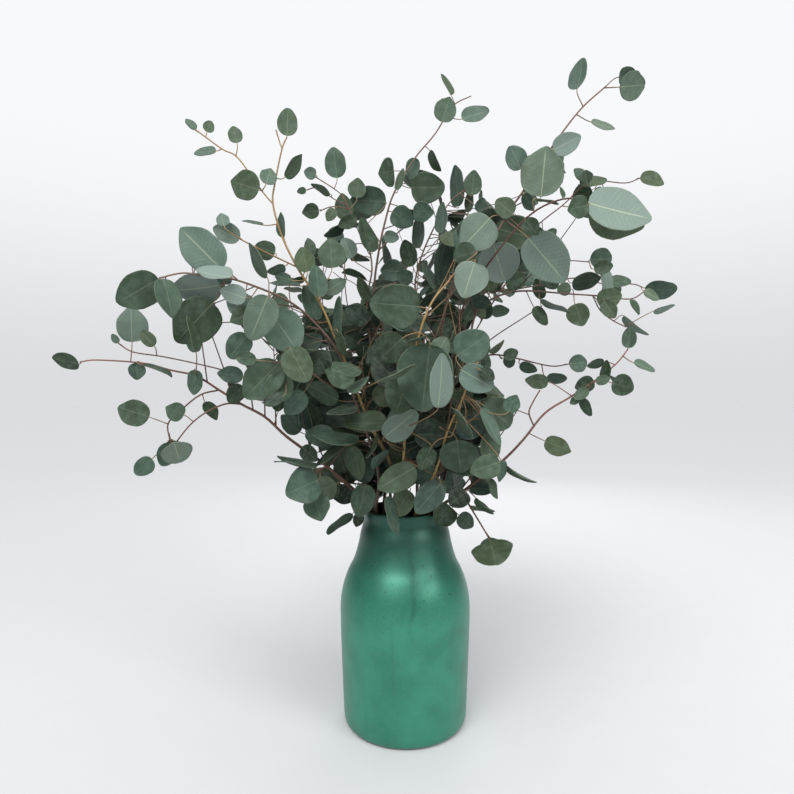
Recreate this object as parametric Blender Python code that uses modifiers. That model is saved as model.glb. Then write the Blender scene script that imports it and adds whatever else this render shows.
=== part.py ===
"""A squat green glass bottle with a loose bunch of silver dollar eucalyptus, in metres, +Z up.

The branches were read from one photograph, so their points and leaves are written as places in its
picture, and seen_at() sets each out in space at a depth before or behind the bottle's axis.
"""

import math
import random
from collections import namedtuple

import bmesh
import bpy
from mathutils import Matrix, Quaternion, Vector
from mathutils.bvhtree import BVHTree

MM = 0.001

# The bottle: heights and outer radii of its main stations.
BOTTLE_HIGH = 233 * MM
MOUTH_OUT = 47 * MM
NECK = (46.2 * MM, 221 * MM)
COLLAR = (49.6 * MM, 208 * MM)
SLOPE = [(52.2 * MM, 195 * MM), (57.2 * MM, 178 * MM), (63.0 * MM, 166.5 * MM), (67.8 * MM, 154 * MM)]
SHOULDER = [(70.9 * MM, 141 * MM), (72.2 * MM, 129 * MM), (72.2 * MM, 114 * MM)]
SKIRT = [(71.3 * MM, 84 * MM), (69.6 * MM, 43 * MM), (68.5 * MM, 16 * MM)]
FOOT_OUT, FOOT_ROUND = 67.9 * MM, 8 * MM
WALL, FLOOR, LIP_ROUND = 4 * MM, 8 * MM, 1.6 * MM
BOTTLE_STEPS = 32

# The photograph's camera: a level 26 mm lens, in pixels of the photograph and in metres.
EYE_X, EYE_BACK, EYE_HIGH = -9.6 * MM, 640 * MM, 362 * MM
LENS_PX, MIDDLE_X, MIDDLE_Y = 568, 396.5, 393.5
SHORT_PETIOLE_PX = 3
DRIFT, BACKWARD_COST = 0.35, 1.7

# The branches: thickness of a stem at its foot and its tip, and how they turn inside the bottle.
FOOT_THICK, TIP_THICK, TWIG_THICK = 5.2 * MM, 1.7 * MM, 2.6 * MM
FOOT_TWIST, FOOT_SPREAD = math.radians(70), 1.1
STEM_SIDES, TWIG_SIDES, CURVE_STEPS = 4, 3, 1

# The leaves.
PETIOLE_WIDE, ROOT_WIDE, BLADE_THICK = 1.8 * MM, 0.9 * MM, 0.8 * MM
KNEE_LONG, KNEE_BEND = 3.5 * MM, math.radians(50)
CUP = 0.12
CLEAR, SINK = 0.4 * MM, 1.5 * MM
FULL_LONG, LARGE_WIDE = 48 * MM, 34 * MM
WIDE_RATIO, ROLLED_RATIO = 0.88, 0.74
TIPPED_ABOVE, ROLLED_BELOW = 0.95, 0.62
RULE_LEAVES, RULE_TRIES = 58, 12
NEXT_LEAF_TURN = math.radians(97)

Stem = namedtuple("Stem", "mouth path twigs leaves")
Leaf = namedtuple("Leaf", "stem root base along across up long wide tone")

# Each stem: its place in the bottle's mouth (degrees, mm from the axis), then its path as
# (pixel, pixel, mm behind the axis), its twigs the same way, each starting at a pixel on the stem,
# and its leaves as (base pixel, tip pixel, width in pixels, tone from -2 dark to 2 light).
STEMS = {
    "stem_upper_left": Stem(
        (235, 18),
        [(392, 468, -48), (372, 428, -62), (357, 392, -72), (336, 340, -82), (320, 303, -87), (297, 267, -90),
         (282, 236, -90), (273, 204, -90), (275, 183, -88), (282, 149, -85), (287, 137, -84)],
        [[(273, 204), (262, 191, -92), (238, 158, -92), (222, 149, -90), (196, 130, -86)],
         [(297, 267), (280, 259, -96), (265, 252, -100), (240, 239, -104)],
         [(282, 149), (279, 140, -84), (276, 130, -84)]],
        [(195, 130, 186, 119, 8, 0), (207, 132, 211, 121, 11, 0), (216, 151, 194, 154, 8, 0),
         (237, 143, 233, 126, 14, 0), (259, 190, 230, 181, 29, -1), (266, 184, 271, 168, 17, 0),
         (287, 136, 288, 108, 20, 0), (285, 177, 302, 154, 12, 0), (284, 237, 281, 212, 9, 0),
         (240, 238, 213, 228, 20, 1), (224, 226, 221, 213, 13, 0), (263, 225, 242, 221, 3, -1),
         (275, 253, 255, 246, 19, -1), (285, 266, 267, 272, 10, 1), (291, 280, 275, 276, 11, 0),
         (300, 286, 269, 283, 6, -2), (307, 272, 302, 247, 20, -1), (311, 256, 308, 238, 12, -1),
         (319, 297, 315, 265, 19, 0), (325, 292, 346, 280, 15, 1), (317, 320, 304, 285, 16, 0),
         (341, 336, 340, 296, 9, 1), (332, 268, 330, 238, 28, 0), (338, 400, 306, 384, 20, 1),
         (379, 381, 415, 364, 5, 1), (386, 424, 344, 424, 19, 0), (387, 421, 411, 431, 34, 2),
         (393, 468, 400, 495, 34, 1)],
    ),
    "stem_left_low": Stem(
        (185, 38),
        [(352, 488, -45), (320, 461, -60), (287, 437, -68), (265, 417, -70), (241, 404, -72), (219, 390, -70),
         (196, 376, -66), (170, 370, -62), (142, 363, -58), (97, 360, -50), (80, 362, -48)],
        [[(221, 391), (200, 395, -74), (180, 411, -76), (168, 424, -78), (170, 441, -80)],
         [(241, 404), (225, 404, -78), (205, 413, -84), (190, 425, -88), (177, 441, -90)],
         [(352, 488), (338, 478, -70), (327, 467, -85), (316, 472, -95)]],
        [(79, 364, 52, 358, 15, -1), (132, 342, 131, 306, 29, 1), (137, 363, 137, 380, 16, 0),
         (142, 365, 172, 377, 4, -1), (195, 370, 194, 395, 15, 0), (196, 352, 187, 316, 9, 0),
         (149, 417, 118, 407, 26, -1), (184, 415, 166, 407, 19, 0), (205, 402, 217, 420, 12, -1),
         (174, 442, 180, 463, 29, 2), (171, 443, 162, 466, 20, -1), (152, 459, 135, 474, 18, 0),
         (243, 386, 228, 402, 18, -2), (318, 464, 277, 456, 8, 0), (316, 468, 274, 461, 3, -1),
         (318, 480, 287, 494, 36, -1), (336, 484, 320, 491, 25, 0), (313, 497, 322, 520, 26, 0),
         (355, 492, 333, 498, 20, -2), (366, 484, 358, 517, 24, 1), (352, 514, 327, 534, 9, 0),
         (360, 513, 356, 527, 11, -2), (302, 447, 317, 461, 16, -2), (343, 447, 316, 466, 8, 1),
         (352, 446, 361, 480, 19, 0)],
    ),
    "stem_left_front": Stem(
        (213, 38),
        [(378, 470, -48), (355, 400, -72), (338, 352, -84), (312, 320, -94), (290, 302, -104), (262, 289, -114),
         (232, 279, -124), (205, 276, -132), (183, 273, -136), (159, 278, -138)],
        [[(352, 392), (330, 385, -92), (310, 372, -104), (290, 362, -112), (272, 362, -118)],
         [(300, 367), (262, 385, -98), (243, 377, -92), (215, 368, -86), (165, 357, -78), (133, 352, -75),
          (118, 343, -74)]],
        [(159, 279, 117, 303, 36, -1), (163, 279, 172, 318, 24, 0), (221, 285, 172, 290, 30, 2),
         (222, 270, 180, 228, 38, 0), (213, 303, 176, 342, 44, -2), (232, 277, 196, 270, 14, 2),
         (267, 277, 249, 243, 11, 0), (272, 314, 297, 350, 40, 0), (268, 296, 250, 340, 32, 1),
         (245, 292, 232, 314, 24, 2), (252, 312, 230, 322, 18, 0), (248, 335, 229, 358, 24, -2),
         (256, 360, 236, 357, 14, -1), (279, 363, 245, 398, 36, 0), (273, 401, 288, 368, 28, 0),
         (290, 348, 308, 382, 30, -1), (243, 377, 217, 373, 17, -2), (283, 396, 264, 404, 12, -2),
         (300, 432, 281, 415, 18, 0), (304, 392, 285, 414, 22, 0), (318, 434, 308, 402, 14, 0),
         (334, 436, 305, 436, 22, 0), (359, 441, 314, 431, 11, 1), (154, 346, 141, 331, 13, -1),
         (118, 343, 112, 334, 7, 0)],
    ),
    "stem_top_left": Stem(
        (150, 18),
        [(384, 440, 8), (370, 340, 15), (367, 300, 18), (372, 268, 18), (366, 240, 18), (352, 215, 16),
         (342, 194, 14)],
        [[(342, 196), (333, 188, 12), (322, 181, 10), (314, 176, 10)],
         [(350, 212), (340, 207, 10), (330, 207, 8), (320, 211, 6)],
         [(348, 206), (334, 199, 18), (318, 188, 20), (306, 190, 20)]],
        [(337, 178, 333, 147, 21, 0), (316, 175, 304, 171, 12, 1), (330, 194, 311, 184, 7, -2),
         (306, 190, 297, 192, 7, 0), (319, 210, 302, 213, 15, -1), (335, 209, 327, 221, 11, 1),
         (345, 220, 342, 193, 18, -2), (357, 198, 358, 178, 18, 0), (386, 202, 350, 200, 28, -1),
         (356, 218, 338, 226, 14, -2), (344, 226, 324, 236, 9, 0), (352, 258, 343, 238, 17, 1),
         (372, 252, 362, 218, 16, -1), (370, 300, 358, 277, 12, -2), (345, 335, 363, 345, 18, -2),
         (368, 318, 345, 308, 20, -1), (303, 348, 322, 336, 18, -2)],
    ),
    "stem_top_centre": Stem(
        (90, 18),
        [(392, 440, 20), (376, 340, 30), (374, 290, 32), (379, 250, 32), (385, 222, 32), (394, 193, 34),
         (415, 158, 38), (435, 134, 42), (453, 106, 46), (471, 96, 46)],
        [[(379, 250), (395, 235, 40), (412, 222, 44)],
         [(374, 290), (395, 283, 40), (412, 281, 44)]],
        [(451, 95, 441, 74, 6, 0), (442, 122, 450, 97, 22, 0), (462, 119, 489, 110, 15, 1),
         (430, 151, 441, 171, 9, 0), (415, 158, 410, 180, 14, -1), (394, 171, 379, 173, 27, 0),
         (398, 190, 403, 168, 8, 1), (411, 188, 445, 187, 30, 0), (392, 212, 413, 225, 22, -2),
         (413, 210, 434, 213, 20, 0), (384, 236, 399, 238, 12, 1), (413, 266, 404, 240, 17, -1),
         (403, 272, 380, 270, 22, 1), (412, 281, 397, 273, 16, -2)],
    ),
    "stem_top_right": Stem(
        (40, 18),
        [(418, 440, 15), (424, 350, 30), (420, 310, 38), (415, 285, 42), (422, 255, 46), (437, 222, 50),
         (452, 200, 54), (468, 188, 56)],
        [],
        [(459, 206, 455, 165, 15, 0), (472, 195, 474, 170, 18, 0), (469, 212, 469, 190, 9, 1),
         (478, 212, 484, 198, 12, -2), (482, 208, 481, 190, 4, 0), (443, 233, 443, 202, 12, 1),
         (420, 248, 420, 213, 12, 1), (446, 243, 436, 284, 18, -2), (434, 289, 423, 263, 9, 1),
         (430, 286, 420, 297, 5, -2), (456, 311, 431, 307, 14, -2), (452, 322, 432, 332, 16, -2)],
    ),
    "stem_front_centre": Stem(
        (262, 34),
        [(404, 450, -85), (408, 390, -125), (420, 332, -140), (432, 302, -140), (447, 283, -130),
         (460, 266, -122)],
        [],
        [(420, 307, 370, 303, 44, -1), (476, 252, 453, 258, 24, 0), (475, 262, 463, 298, 34, 2),
         (430, 345, 422, 412, 56, 0), (410, 370, 396, 414, 36, -1), (438, 408, 442, 353, 23, 2),
         (436, 358, 446, 337, 20, 1), (401, 442, 436, 425, 12, 0), (432, 448, 420, 470, 18, 0),
         (436, 468, 412, 482, 20, -1), (410, 491, 392, 518, 22, 0), (386, 497, 398, 536, 12, 1),
         (441, 483, 416, 513, 26, -2), (403, 338, 378, 360, 32, -2)],
    ),
    "stem_upper_right": Stem(
        (320, 18),
        [(430, 430, -45), (440, 340, -65), (452, 285, -80), (478, 252, -92), (493, 238, -96), (511, 208, -98),
         (522, 193, -98), (552, 147, -94), (580, 110, -88), (605, 87, -82)],
        [],
        [(577, 89, 582, 58, 16, 0), (619, 77, 637, 75, 18, 0), (620, 87, 645, 85, 27, 0),
         (591, 122, 615, 129, 7, 1), (553, 150, 581, 136, 21, 1), (541, 197, 546, 146, 42, 1),
         (521, 169, 510, 146, 21, 0), (513, 214, 496, 200, 20, 0), (524, 194, 534, 211, 12, -1),
         (490, 218, 462, 248, 38, 2), (493, 243, 505, 283, 42, 2), (529, 237, 493, 228, 36, 0),
         (528, 238, 565, 282, 42, 1)],
    ),
    "stem_right_high": Stem(
        (312, 38),
        [(446, 440, -28), (456, 345, -40), (466, 300, -60), (495, 255, -95), (530, 215, -125), (563, 199, -150),
         (585, 202, -165)],
        [[(466, 300), (505, 255, -20), (540, 223, 10), (563, 205, 30), (590, 182, 50), (625, 183, 60),
          (640, 178, 60)]],
        [(588, 203, 652, 219, 38, 2), (592, 205, 644, 227, 44, 0), (640, 178, 664, 184, 13, -2),
         (587, 180, 574, 169, 9, -2), (587, 183, 586, 170, 12, -2), (580, 184, 607, 180, 11, -2),
         (592, 190, 572, 200, 22, -2), (588, 205, 568, 210, 22, -2), (563, 198, 560, 187, 4, -1),
         (536, 199, 559, 204, 3, -1), (545, 240, 556, 229, 10, -1), (525, 220, 538, 235, 16, -2)],
    ),
    "stem_right": Stem(
        (5, 38),
        [(452, 440, 12), (466, 365, 15), (475, 315, 18), (490, 300, 20), (520, 291, 22), (570, 294, 26),
         (600, 296, 28), (630, 299, 30), (645, 291, 30)],
        [[(475, 315), (483, 293, 40), (505, 291, 48), (545, 284, 55), (575, 278, 60), (605, 284, 62),
          (632, 284, 62), (642, 287, 60)],
         [(545, 284), (557, 268, 64), (568, 261, 66), (590, 262, 68)],
         [(592, 296), (600, 310, 24), (612, 320, 20), (626, 327, 18)],
         [(466, 365), (490, 355, -5), (515, 358, -10), (550, 366, -12), (569, 364, -12)]],
        [(608, 296, 603, 264, 11, 1), (572, 283, 601, 278, 17, -2), (609, 284, 631, 281, 12, -1),
         (597, 301, 622, 295, 20, -2), (604, 301, 615, 318, 15, 1), (645, 288, 677, 290, 19, -2),
         (644, 291, 659, 300, 9, 1), (654, 311, 675, 305, 6, 1), (630, 300, 639, 315, 6, -1),
         (624, 316, 649, 335, 7, 1), (534, 307, 547, 325, 12, -2), (575, 304, 583, 326, 22, 0),
         (541, 300, 570, 312, 6, 0), (571, 289, 557, 290, 13, 0), (559, 285, 541, 281, 12, -2),
         (484, 286, 500, 282, 13, -2), (507, 284, 527, 276, 18, -2), (489, 305, 466, 297, 14, -1),
         (476, 302, 466, 321, 15, -1), (478, 305, 485, 318, 8, -1), (590, 260, 612, 258, 21, -2),
         (594, 269, 613, 265, 14, -2), (504, 358, 518, 351, 12, 0), (511, 356, 508, 368, 12, 0),
         (520, 364, 537, 371, 11, 0), (547, 377, 567, 379, 11, -1), (569, 364, 587, 362, 18, 0),
         (489, 352, 504, 340, 6, 0)],
    ),
    "stem_right_low": Stem(
        (340, 38),
        [(462, 492, -45), (500, 463, -58), (523, 440, -58), (545, 413, -54), (572, 396, -50), (600, 377, -44),
         (617, 363, -40), (628, 349, -38)],
        [[(462, 492), (468, 503, -70), (474, 513, -80), (486, 533, -88), (490, 541, -88)],
         [(531, 427), (529, 413, -52), (533, 402, -50), (540, 390, -48)]],
        [(545, 441, 571, 452, 19, -2), (548, 382, 525, 380, 15, -2), (594, 382, 575, 388, 16, -2),
         (588, 389, 574, 399, 11, 0), (583, 398, 591, 416, 10, 0), (579, 398, 570, 404, 8, 0),
         (604, 362, 587, 366, 9, -2), (605, 382, 607, 360, 10, 0), (596, 382, 610, 378, 10, 0),
         (634, 363, 655, 371, 8, 0), (612, 383, 634, 389, 22, -2), (628, 348, 630, 327, 14, -2),
         (503, 460, 499, 482, 9, 0), (507, 466, 537, 482, 4, 0), (490, 479, 497, 499, 8, 1),
         (469, 489, 495, 489, 14, -1), (459, 515, 473, 527, 17, -1), (470, 506, 495, 511, 5, 0),
         (476, 498, 494, 514, 5, 0), (490, 541, 496, 563, 40, -1), (452, 508, 436, 525, 24, 0),
         (466, 492, 450, 505, 22, -2)],
    ),
    "stem_front_right": Stem(
        (285, 38),
        [(436, 470, -85), (448, 430, -115), (463, 398, -135), (468, 380, -140), (478, 362, -142)],
        [],
        [(457, 440, 461, 474, 39, 0), (500, 462, 470, 472, 24, 0), (491, 430, 488, 465, 20, -1),
         (481, 409, 500, 445, 12, 1), (483, 405, 512, 426, 38, 0), (508, 412, 517, 395, 16, -1),
         (461, 370, 493, 388, 28, 1), (480, 370, 494, 380, 14, -2), (457, 356, 488, 335, 34, 0),
         (474, 392, 450, 394, 12, -1)],
    ),
    "stem_back_right": Stem(
        (45, 38),
        [(428, 440, 60), (455, 370, 120), (482, 320, 175), (505, 285, 220)],
        [[(455, 370), (490, 340, 112), (520, 320, 118), (542, 306, 128)],
         [(480, 325), (490, 290, 165), (492, 258, 172), (500, 238, 182)]],
        [],
    ),
    "stem_back": Stem(
        (90, 38),
        [(408, 440, 70), (412, 360, 140), (416, 300, 200), (420, 258, 245)],
        [[(412, 360), (425, 330, 155), (440, 300, 172), (450, 268, 195)],
         [(416, 310), (400, 280, 190), (385, 252, 202)]],
        [],
    ),
    "stem_back_left": Stem(
        (130, 38),
        [(385, 440, 60), (352, 365, 120), (325, 315, 175), (308, 285, 215)],
        [[(352, 365), (350, 325, 135), (345, 285, 150), (345, 248, 165)],
         [(328, 322), (300, 312, 162), (272, 300, 168)]],
        [],
    ),
    "stem_left_back": Stem(
        (158, 38),
        [(375, 450, 40), (335, 400, 75), (298, 362, 105), (268, 335, 130)],
        [[(335, 400), (300, 395, 68), (272, 385, 72)],
         [(305, 370), (300, 335, 110), (290, 300, 125), (290, 275, 132)]],
        [],
    ),
}

# Leaves that no pixel was read for stay where the photograph shows dense foliage.
DENSE = [(300, 255), (330, 218), (365, 208), (400, 196), (430, 190), (470, 190), (500, 215), (540, 240),
         (590, 272), (610, 300), (540, 300), (497, 320), (492, 350), (512, 400), (500, 455), (484, 495),
         (455, 515), (352, 512), (330, 492), (300, 475), (318, 448), (290, 405), (250, 385), (236, 335),
         (255, 295)]

def seen_at(px, py, depth):
    """The point that the photograph shows at this pixel, depth mm behind the bottle's axis."""
    scale = (EYE_BACK + depth * MM) / LENS_PX
    return Vector((EYE_X + (px - MIDDLE_X) * scale, depth * MM, EYE_HIGH + (MIDDLE_Y - py) * scale))


def pixel_of(point):
    scale = (EYE_BACK + point.y) / LENS_PX
    return MIDDLE_X + (point.x - EYE_X) / scale, MIDDLE_Y - (point.z - EYE_HIGH) / scale


def inside(px, py, outline):
    """Whether a pixel lies in a closed outline."""
    odd = False
    for (x0, y0), (x1, y1) in zip(outline, outline[1:] + outline[:1]):
        if (y0 > py) != (y1 > py) and px < x0 + (py - y0) * (x1 - x0) / (y1 - y0):
            odd = not odd
    return odd


def smooth(points, steps):
    """A smooth curve through the points, with this many steps between two of them."""
    ends = [2 * points[0] - points[1], *points, 2 * points[-1] - points[-2]]
    found = []
    for a, b, c, d in zip(ends, ends[1:], ends[2:], ends[3:]):
        for i in range(steps):
            t = i / steps
            square = (2 * a - 5 * b + 4 * c - d) * t * t
            cube = (3 * b - a - 3 * c + d) * t ** 3
            found.append((2 * b + (c - a) * t + square + cube) / 2)
    return found + [points[-1]]


def tube(points, radii, sides, level_foot=False):
    """(vertices, faces) of a closed tube along the points. A level foot stands flat."""
    verts, faces = [], []
    side = (points[1] - points[0]).orthogonal().normalized()
    for i, point in enumerate(points):
        ahead = points[min(i + 1, len(points) - 1)] - points[max(i - 1, 0)]
        ahead.normalize()
        side = (side - ahead * side.dot(ahead)).normalized()
        other = ahead.cross(side)
        for k in range(sides):
            angle = math.tau * k / sides
            verts.append(point + (side * math.cos(angle) + other * math.sin(angle)) * radii[i])
    if level_foot:
        for vert in verts[:sides]:
            vert.z = points[0].z
    for i in range(len(points) - 1):
        for k in range(sides):
            a, b = i * sides + k, i * sides + (k + 1) % sides
            faces.append((a, b, b + sides, a + sides))
    faces.append(tuple(reversed(range(sides))))
    faces.append(tuple(range(len(verts) - sides, len(verts))))
    return verts, faces


def bottle_profile():
    """Half of the bottle's section, (radius, height) from the middle of its floor out to the foot."""
    lip_mid = (MOUTH_OUT - LIP_ROUND, BOTTLE_HIGH - LIP_ROUND)
    foot_mid = (FOOT_OUT - FOOT_ROUND, FOOT_ROUND)
    lip = [(lip_mid[0] + LIP_ROUND * math.sin(a), lip_mid[1] + LIP_ROUND * math.cos(a))
           for a in (0, math.radians(50), math.radians(95))]
    foot = [(foot_mid[0] + FOOT_ROUND * math.cos(a), foot_mid[1] - FOOT_ROUND * math.sin(a))
            for a in (0, math.radians(30), math.radians(60), math.radians(90))]
    outer = [*lip, NECK, COLLAR, *SLOPE, *SHOULDER, *SKIRT, *foot, (0, 0)]
    walls = [COLLAR, SLOPE[1], SLOPE[3], SHOULDER[2], SKIRT[2]]
    inner = [(radius - WALL, height) for radius, height in reversed(walls)]
    rim = [(MOUTH_OUT - WALL, NECK[1]), (MOUTH_OUT - WALL, BOTTLE_HIGH - LIP_ROUND),
           (MOUTH_OUT - 2 * LIP_ROUND, BOTTLE_HIGH)]
    floor = [(0, FLOOR), (FOOT_OUT - FOOT_ROUND - WALL, FLOOR)]
    return [*floor, *inner, *rim, *outer]


def lathe(profile, steps):
    """(vertices, faces) of the profile turned about the axis, for the clearance tests."""
    verts = []
    for i in range(steps):
        turn = Matrix.Rotation(math.tau * i / steps, 3, "Z")
        verts += [turn @ Vector((radius, 0, height)) for radius, height in profile]
    count = len(profile)
    faces = []
    for i in range(steps):
        for k in range(count - 1):
            a, b = i * count + k, (i + 1) % steps * count + k
            faces.append((a, b, b + 1, a + 1))
    return verts, faces


def half_width(share):
    """Half a blade's width, as a share of its width, this far along it."""
    angle = math.acos(1 - 2 * share)
    return 0.5 * math.sin(angle) ** 0.85 * (1 + 0.16 * math.cos(angle))


def blade_point(leaf, share, across, grow=1.0):
    """A point of the blade: its share of the length, and from -1 to 1 across. Its rim is raised."""
    half = half_width(share) * leaf.wide * grow
    middle = leaf.base + leaf.along * (leaf.long * share)
    return middle + leaf.across * (half * across) + leaf.up * (CUP * half * abs(across))


def stations(leaf):
    """Where along a blade its solid has points: a large one has three, any other two."""
    count = 3 if leaf.wide > LARGE_WIDE else 2
    return [(1 - math.cos(math.pi * i / (count + 1))) / 2 for i in range(1, count + 1)]


def blade_shell(leaf):
    """A slab a little larger than the blade, for the clearance tests."""
    shares = (0.146, 0.5, 0.854)
    right = [blade_point(leaf, share, 1, 1.06) for share in shares]
    left = [blade_point(leaf, share, -1, 1.06) for share in shares]
    tip = leaf.base + leaf.along * leaf.long
    rim = [leaf.base, *right, tip, *reversed(left)]
    half = leaf.up * (BLADE_THICK / 2 + CLEAR)
    verts = [point + half for point in rim] + [point - half for point in rim]
    top = [(0, 7, 1), (1, 7, 6, 2), (2, 6, 5, 3), (3, 5, 4)]
    under = [tuple(i + 8 for i in reversed(face)) for face in top]
    sides = [(i, i + 8, (i + 1) % 8 + 8, (i + 1) % 8) for i in range(8)]
    return verts, top + under + sides


def petiole_path(leaf):
    """A petiole's points from its root to the blade, with a knee where the blade turns off sharply."""
    bend = leaf.along.angle(leaf.base - leaf.root)
    knee = [leaf.base - leaf.along * KNEE_LONG] if bend > KNEE_BEND else []
    return [leaf.root, *knee, leaf.base]


def petiole_shell(leaf):
    path = petiole_path(leaf)
    return tube(path, [PETIOLE_WIDE / 2 + CLEAR] * len(path), 4)


class Placed:
    """A solid that is in its place, for later ones to keep clear of."""

    def __init__(self, kind, stem, shell):
        verts, faces = shell
        self.kind, self.stem = kind, stem
        self.tree = BVHTree.FromPolygons(verts, faces)
        self.low = [min(vert[i] for vert in verts) for i in range(3)]
        self.high = [max(vert[i] for vert in verts) for i in range(3)]

    def meets(self, other):
        apart = any(self.low[i] > other.high[i] or other.low[i] > self.high[i] for i in range(3))
        return not apart and bool(self.tree.overlap(other.tree))


class Shoot:
    """A stem or a twig: straight runs from point to point, and its thickness along them."""

    def __init__(self, points, thick, thin, hidden=0):
        self.points, self.hidden = points, hidden
        lengths = [0.0]
        for a, b in zip(points, points[1:]):
            lengths.append(lengths[-1] + (b - a).length)
        self.length = lengths[-1]
        self.radii = [(thick + (thin - thick) * length / self.length) / 2 for length in lengths]

    def line(self, steps=4):
        """(point, radius) all along the part above the bottle's mouth, up to just short of the tip."""
        found = []
        for i in range(self.hidden, len(self.points) - 1):
            for t in range(steps):
                point = self.points[i].lerp(self.points[i + 1], t / steps)
                found.append((point, self.radii[i] + (self.radii[i + 1] - self.radii[i]) * t / steps))
        back = (self.points[-2] - self.points[-1]).normalized()
        return found + [(self.points[-1] + back * SINK, self.radii[-1])]

    def shell(self):
        """The solid, a little thicker than it is."""
        swollen = [radius + CLEAR for radius in self.radii]
        return tube(self.points, swollen, 6, level_foot=self.hidden > 0)


class Plant:
    """All branches in their places, each solid clear of those of the other stems."""

    def __init__(self):
        bottle = lathe(bottle_profile(), BOTTLE_STEPS)
        self.placed = [Placed("bottle", None, bottle)]
        self.shoots = {}
        self.leaves = []
        self.draw = random.Random(7)
        for name in STEMS:
            self.grow_stem(name)
        for name in STEMS:
            self.grow_twigs(name)
        for name in STEMS:
            for row in STEMS[name].leaves:
                self.read_leaf(name, *row)
        self.hide_behind()

    def clear(self, trial, passed):
        """Whether a solid keeps clear of all others but the kinds that passed names on its stem."""
        for other in self.placed:
            own = other.stem == trial.stem and other.kind in passed
            if not own and trial.meets(other):
                return False
        return True

    def settle_shoot(self, name, kind, make, passed):
        """The shoot that make(offset) gives for the least offset in depth that leaves it clear."""
        for offset in [0] + [n * side for n in range(4, 40, 4) for side in (1, -1)]:
            shoot = make(offset)
            trial = Placed(kind, name, shoot.shell())
            if self.clear(trial, passed):
                self.placed.append(trial)
                return shoot
        raise ValueError(f"{name}: a {kind} has no clear way")

    def grow_stem(self, name):
        angle, out = STEMS[name].mouth
        mouth = Matrix.Rotation(math.radians(angle), 3, "Z") @ Vector((out * MM, 0, 0))
        foot = Matrix.Rotation(FOOT_TWIST, 3, "Z") @ mouth * FOOT_SPREAD
        foot.z = FLOOR + CLEAR
        mouth.z = BOTTLE_HIGH

        def make(offset):
            path = [seen_at(px, py, depth + offset * min(1, i / 2))
                    for i, (px, py, depth) in enumerate(STEMS[name].path)]
            curve = smooth([foot.lerp(mouth, 0.85), mouth, *path], CURVE_STEPS)
            return Shoot([foot, *curve], FOOT_THICK, TIP_THICK, hidden=1 + CURVE_STEPS)

        self.shoots[name] = [self.settle_shoot(name, "stem", make, ())]

    def grow_twigs(self, name):
        for start, *rest in STEMS[name].twigs:
            parent, at = self.nearest(name, *start)
            root, radius = parent.line()[at]
            thick = min(1.5 * radius, TWIG_THICK)

            def make(offset):
                path = [seen_at(px, py, depth + offset * i / len(rest))
                        for i, (px, py, depth) in enumerate(rest, 1)]
                return Shoot(smooth([root, *path], CURVE_STEPS), thick, TIP_THICK)

            twig = self.settle_shoot(name, "twig", make, ("stem", "twig"))
            self.shoots[name].append(twig)

    def nearest(self, name, px, py):
        """(shoot, index on its line) of this stem's point nearest to a pixel."""
        best = None
        for shoot in self.shoots[name]:
            for i, (point, _) in enumerate(shoot.line()):
                far = math.dist(pixel_of(point), (px, py))
                if best is None or far < best[0]:
                    best = (far, shoot, i)
        return best[1], best[2]

    def leaf_root(self, name, base, tip):
        """Where a leaf's petiole starts: the stem's point that is nearest to its base from behind."""
        (base_x, base_y), (tip_x, tip_y) = base, tip
        long = math.dist(base, tip)
        best = None
        for shoot in self.shoots[name]:
            for point, _ in shoot.line(8):
                x, y = pixel_of(point)
                far = math.hypot(base_x - x, base_y - y)
                ahead = ((base_x - x) * (tip_x - base_x) + (base_y - y) * (tip_y - base_y)) / long
                cost = BACKWARD_COST * far - ahead
                if far > SHORT_PETIOLE_PX and (best is None or cost < best[0]):
                    best = (cost, point, far)
        return best[1], best[2]

    def settle_leaf(self, leaf):
        """Puts a leaf in its place, if it is clear there."""
        blade = Placed("blade", leaf.stem, blade_shell(leaf))
        petiole = Placed("petiole", leaf.stem, petiole_shell(leaf))
        if not self.clear(blade, ()) or not self.clear(petiole, ("stem", "twig", "petiole")):
            return False
        self.placed += [blade, petiole]
        self.leaves.append(leaf)
        return True

    def read_leaf(self, name, base_x, base_y, tip_x, tip_y, wide_px, tone):
        """Places a leaf that was read from the photograph, moved in depth until it is clear."""
        root, far = self.leaf_root(name, (base_x, base_y), (tip_x, tip_y))
        drift = far * self.draw.uniform(-DRIFT, DRIFT)
        turn = 1 if self.draw.random() < 0.5 else -1
        for offset in [0] + [n * side for n in range(3, 75, 3) for side in (-1, 1)]:
            depth = root.y / MM + drift + offset
            base, tip = seen_at(base_x, base_y, depth), seen_at(tip_x, tip_y, depth)
            wide = wide_px * (EYE_BACK + depth * MM) / LENS_PX
            if self.settle_leaf(self.turned_leaf(name, root, base, tip, wide, turn, tone)):
                return

    def turned_leaf(self, name, root, base, tip, wide, turn, tone):
        """A leaf whose picture has this length and width: it is tipped or rolled out of the picture."""
        look = (base - Vector((EYE_X, -EYE_BACK, EYE_HIGH))).normalized()
        ratio, roll = wide / (tip - base).length, 0.0
        if ratio > TIPPED_ABOVE:
            away = math.sqrt((wide / WIDE_RATIO) ** 2 - (tip - base).length ** 2)
            tip = tip + look * (turn * away)
        elif ratio < ROLLED_BELOW:
            wide = ROLLED_RATIO * (tip - base).length
            roll = turn * math.acos(ratio / ROLLED_RATIO)
        along = (tip - base).normalized()
        up = (-look - along * along.dot(-look)).normalized()
        up = Matrix.Rotation(roll, 3, along) @ up
        return Leaf(name, root, base, along, along.cross(up), up, (tip - base).length, wide, tone)

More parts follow.
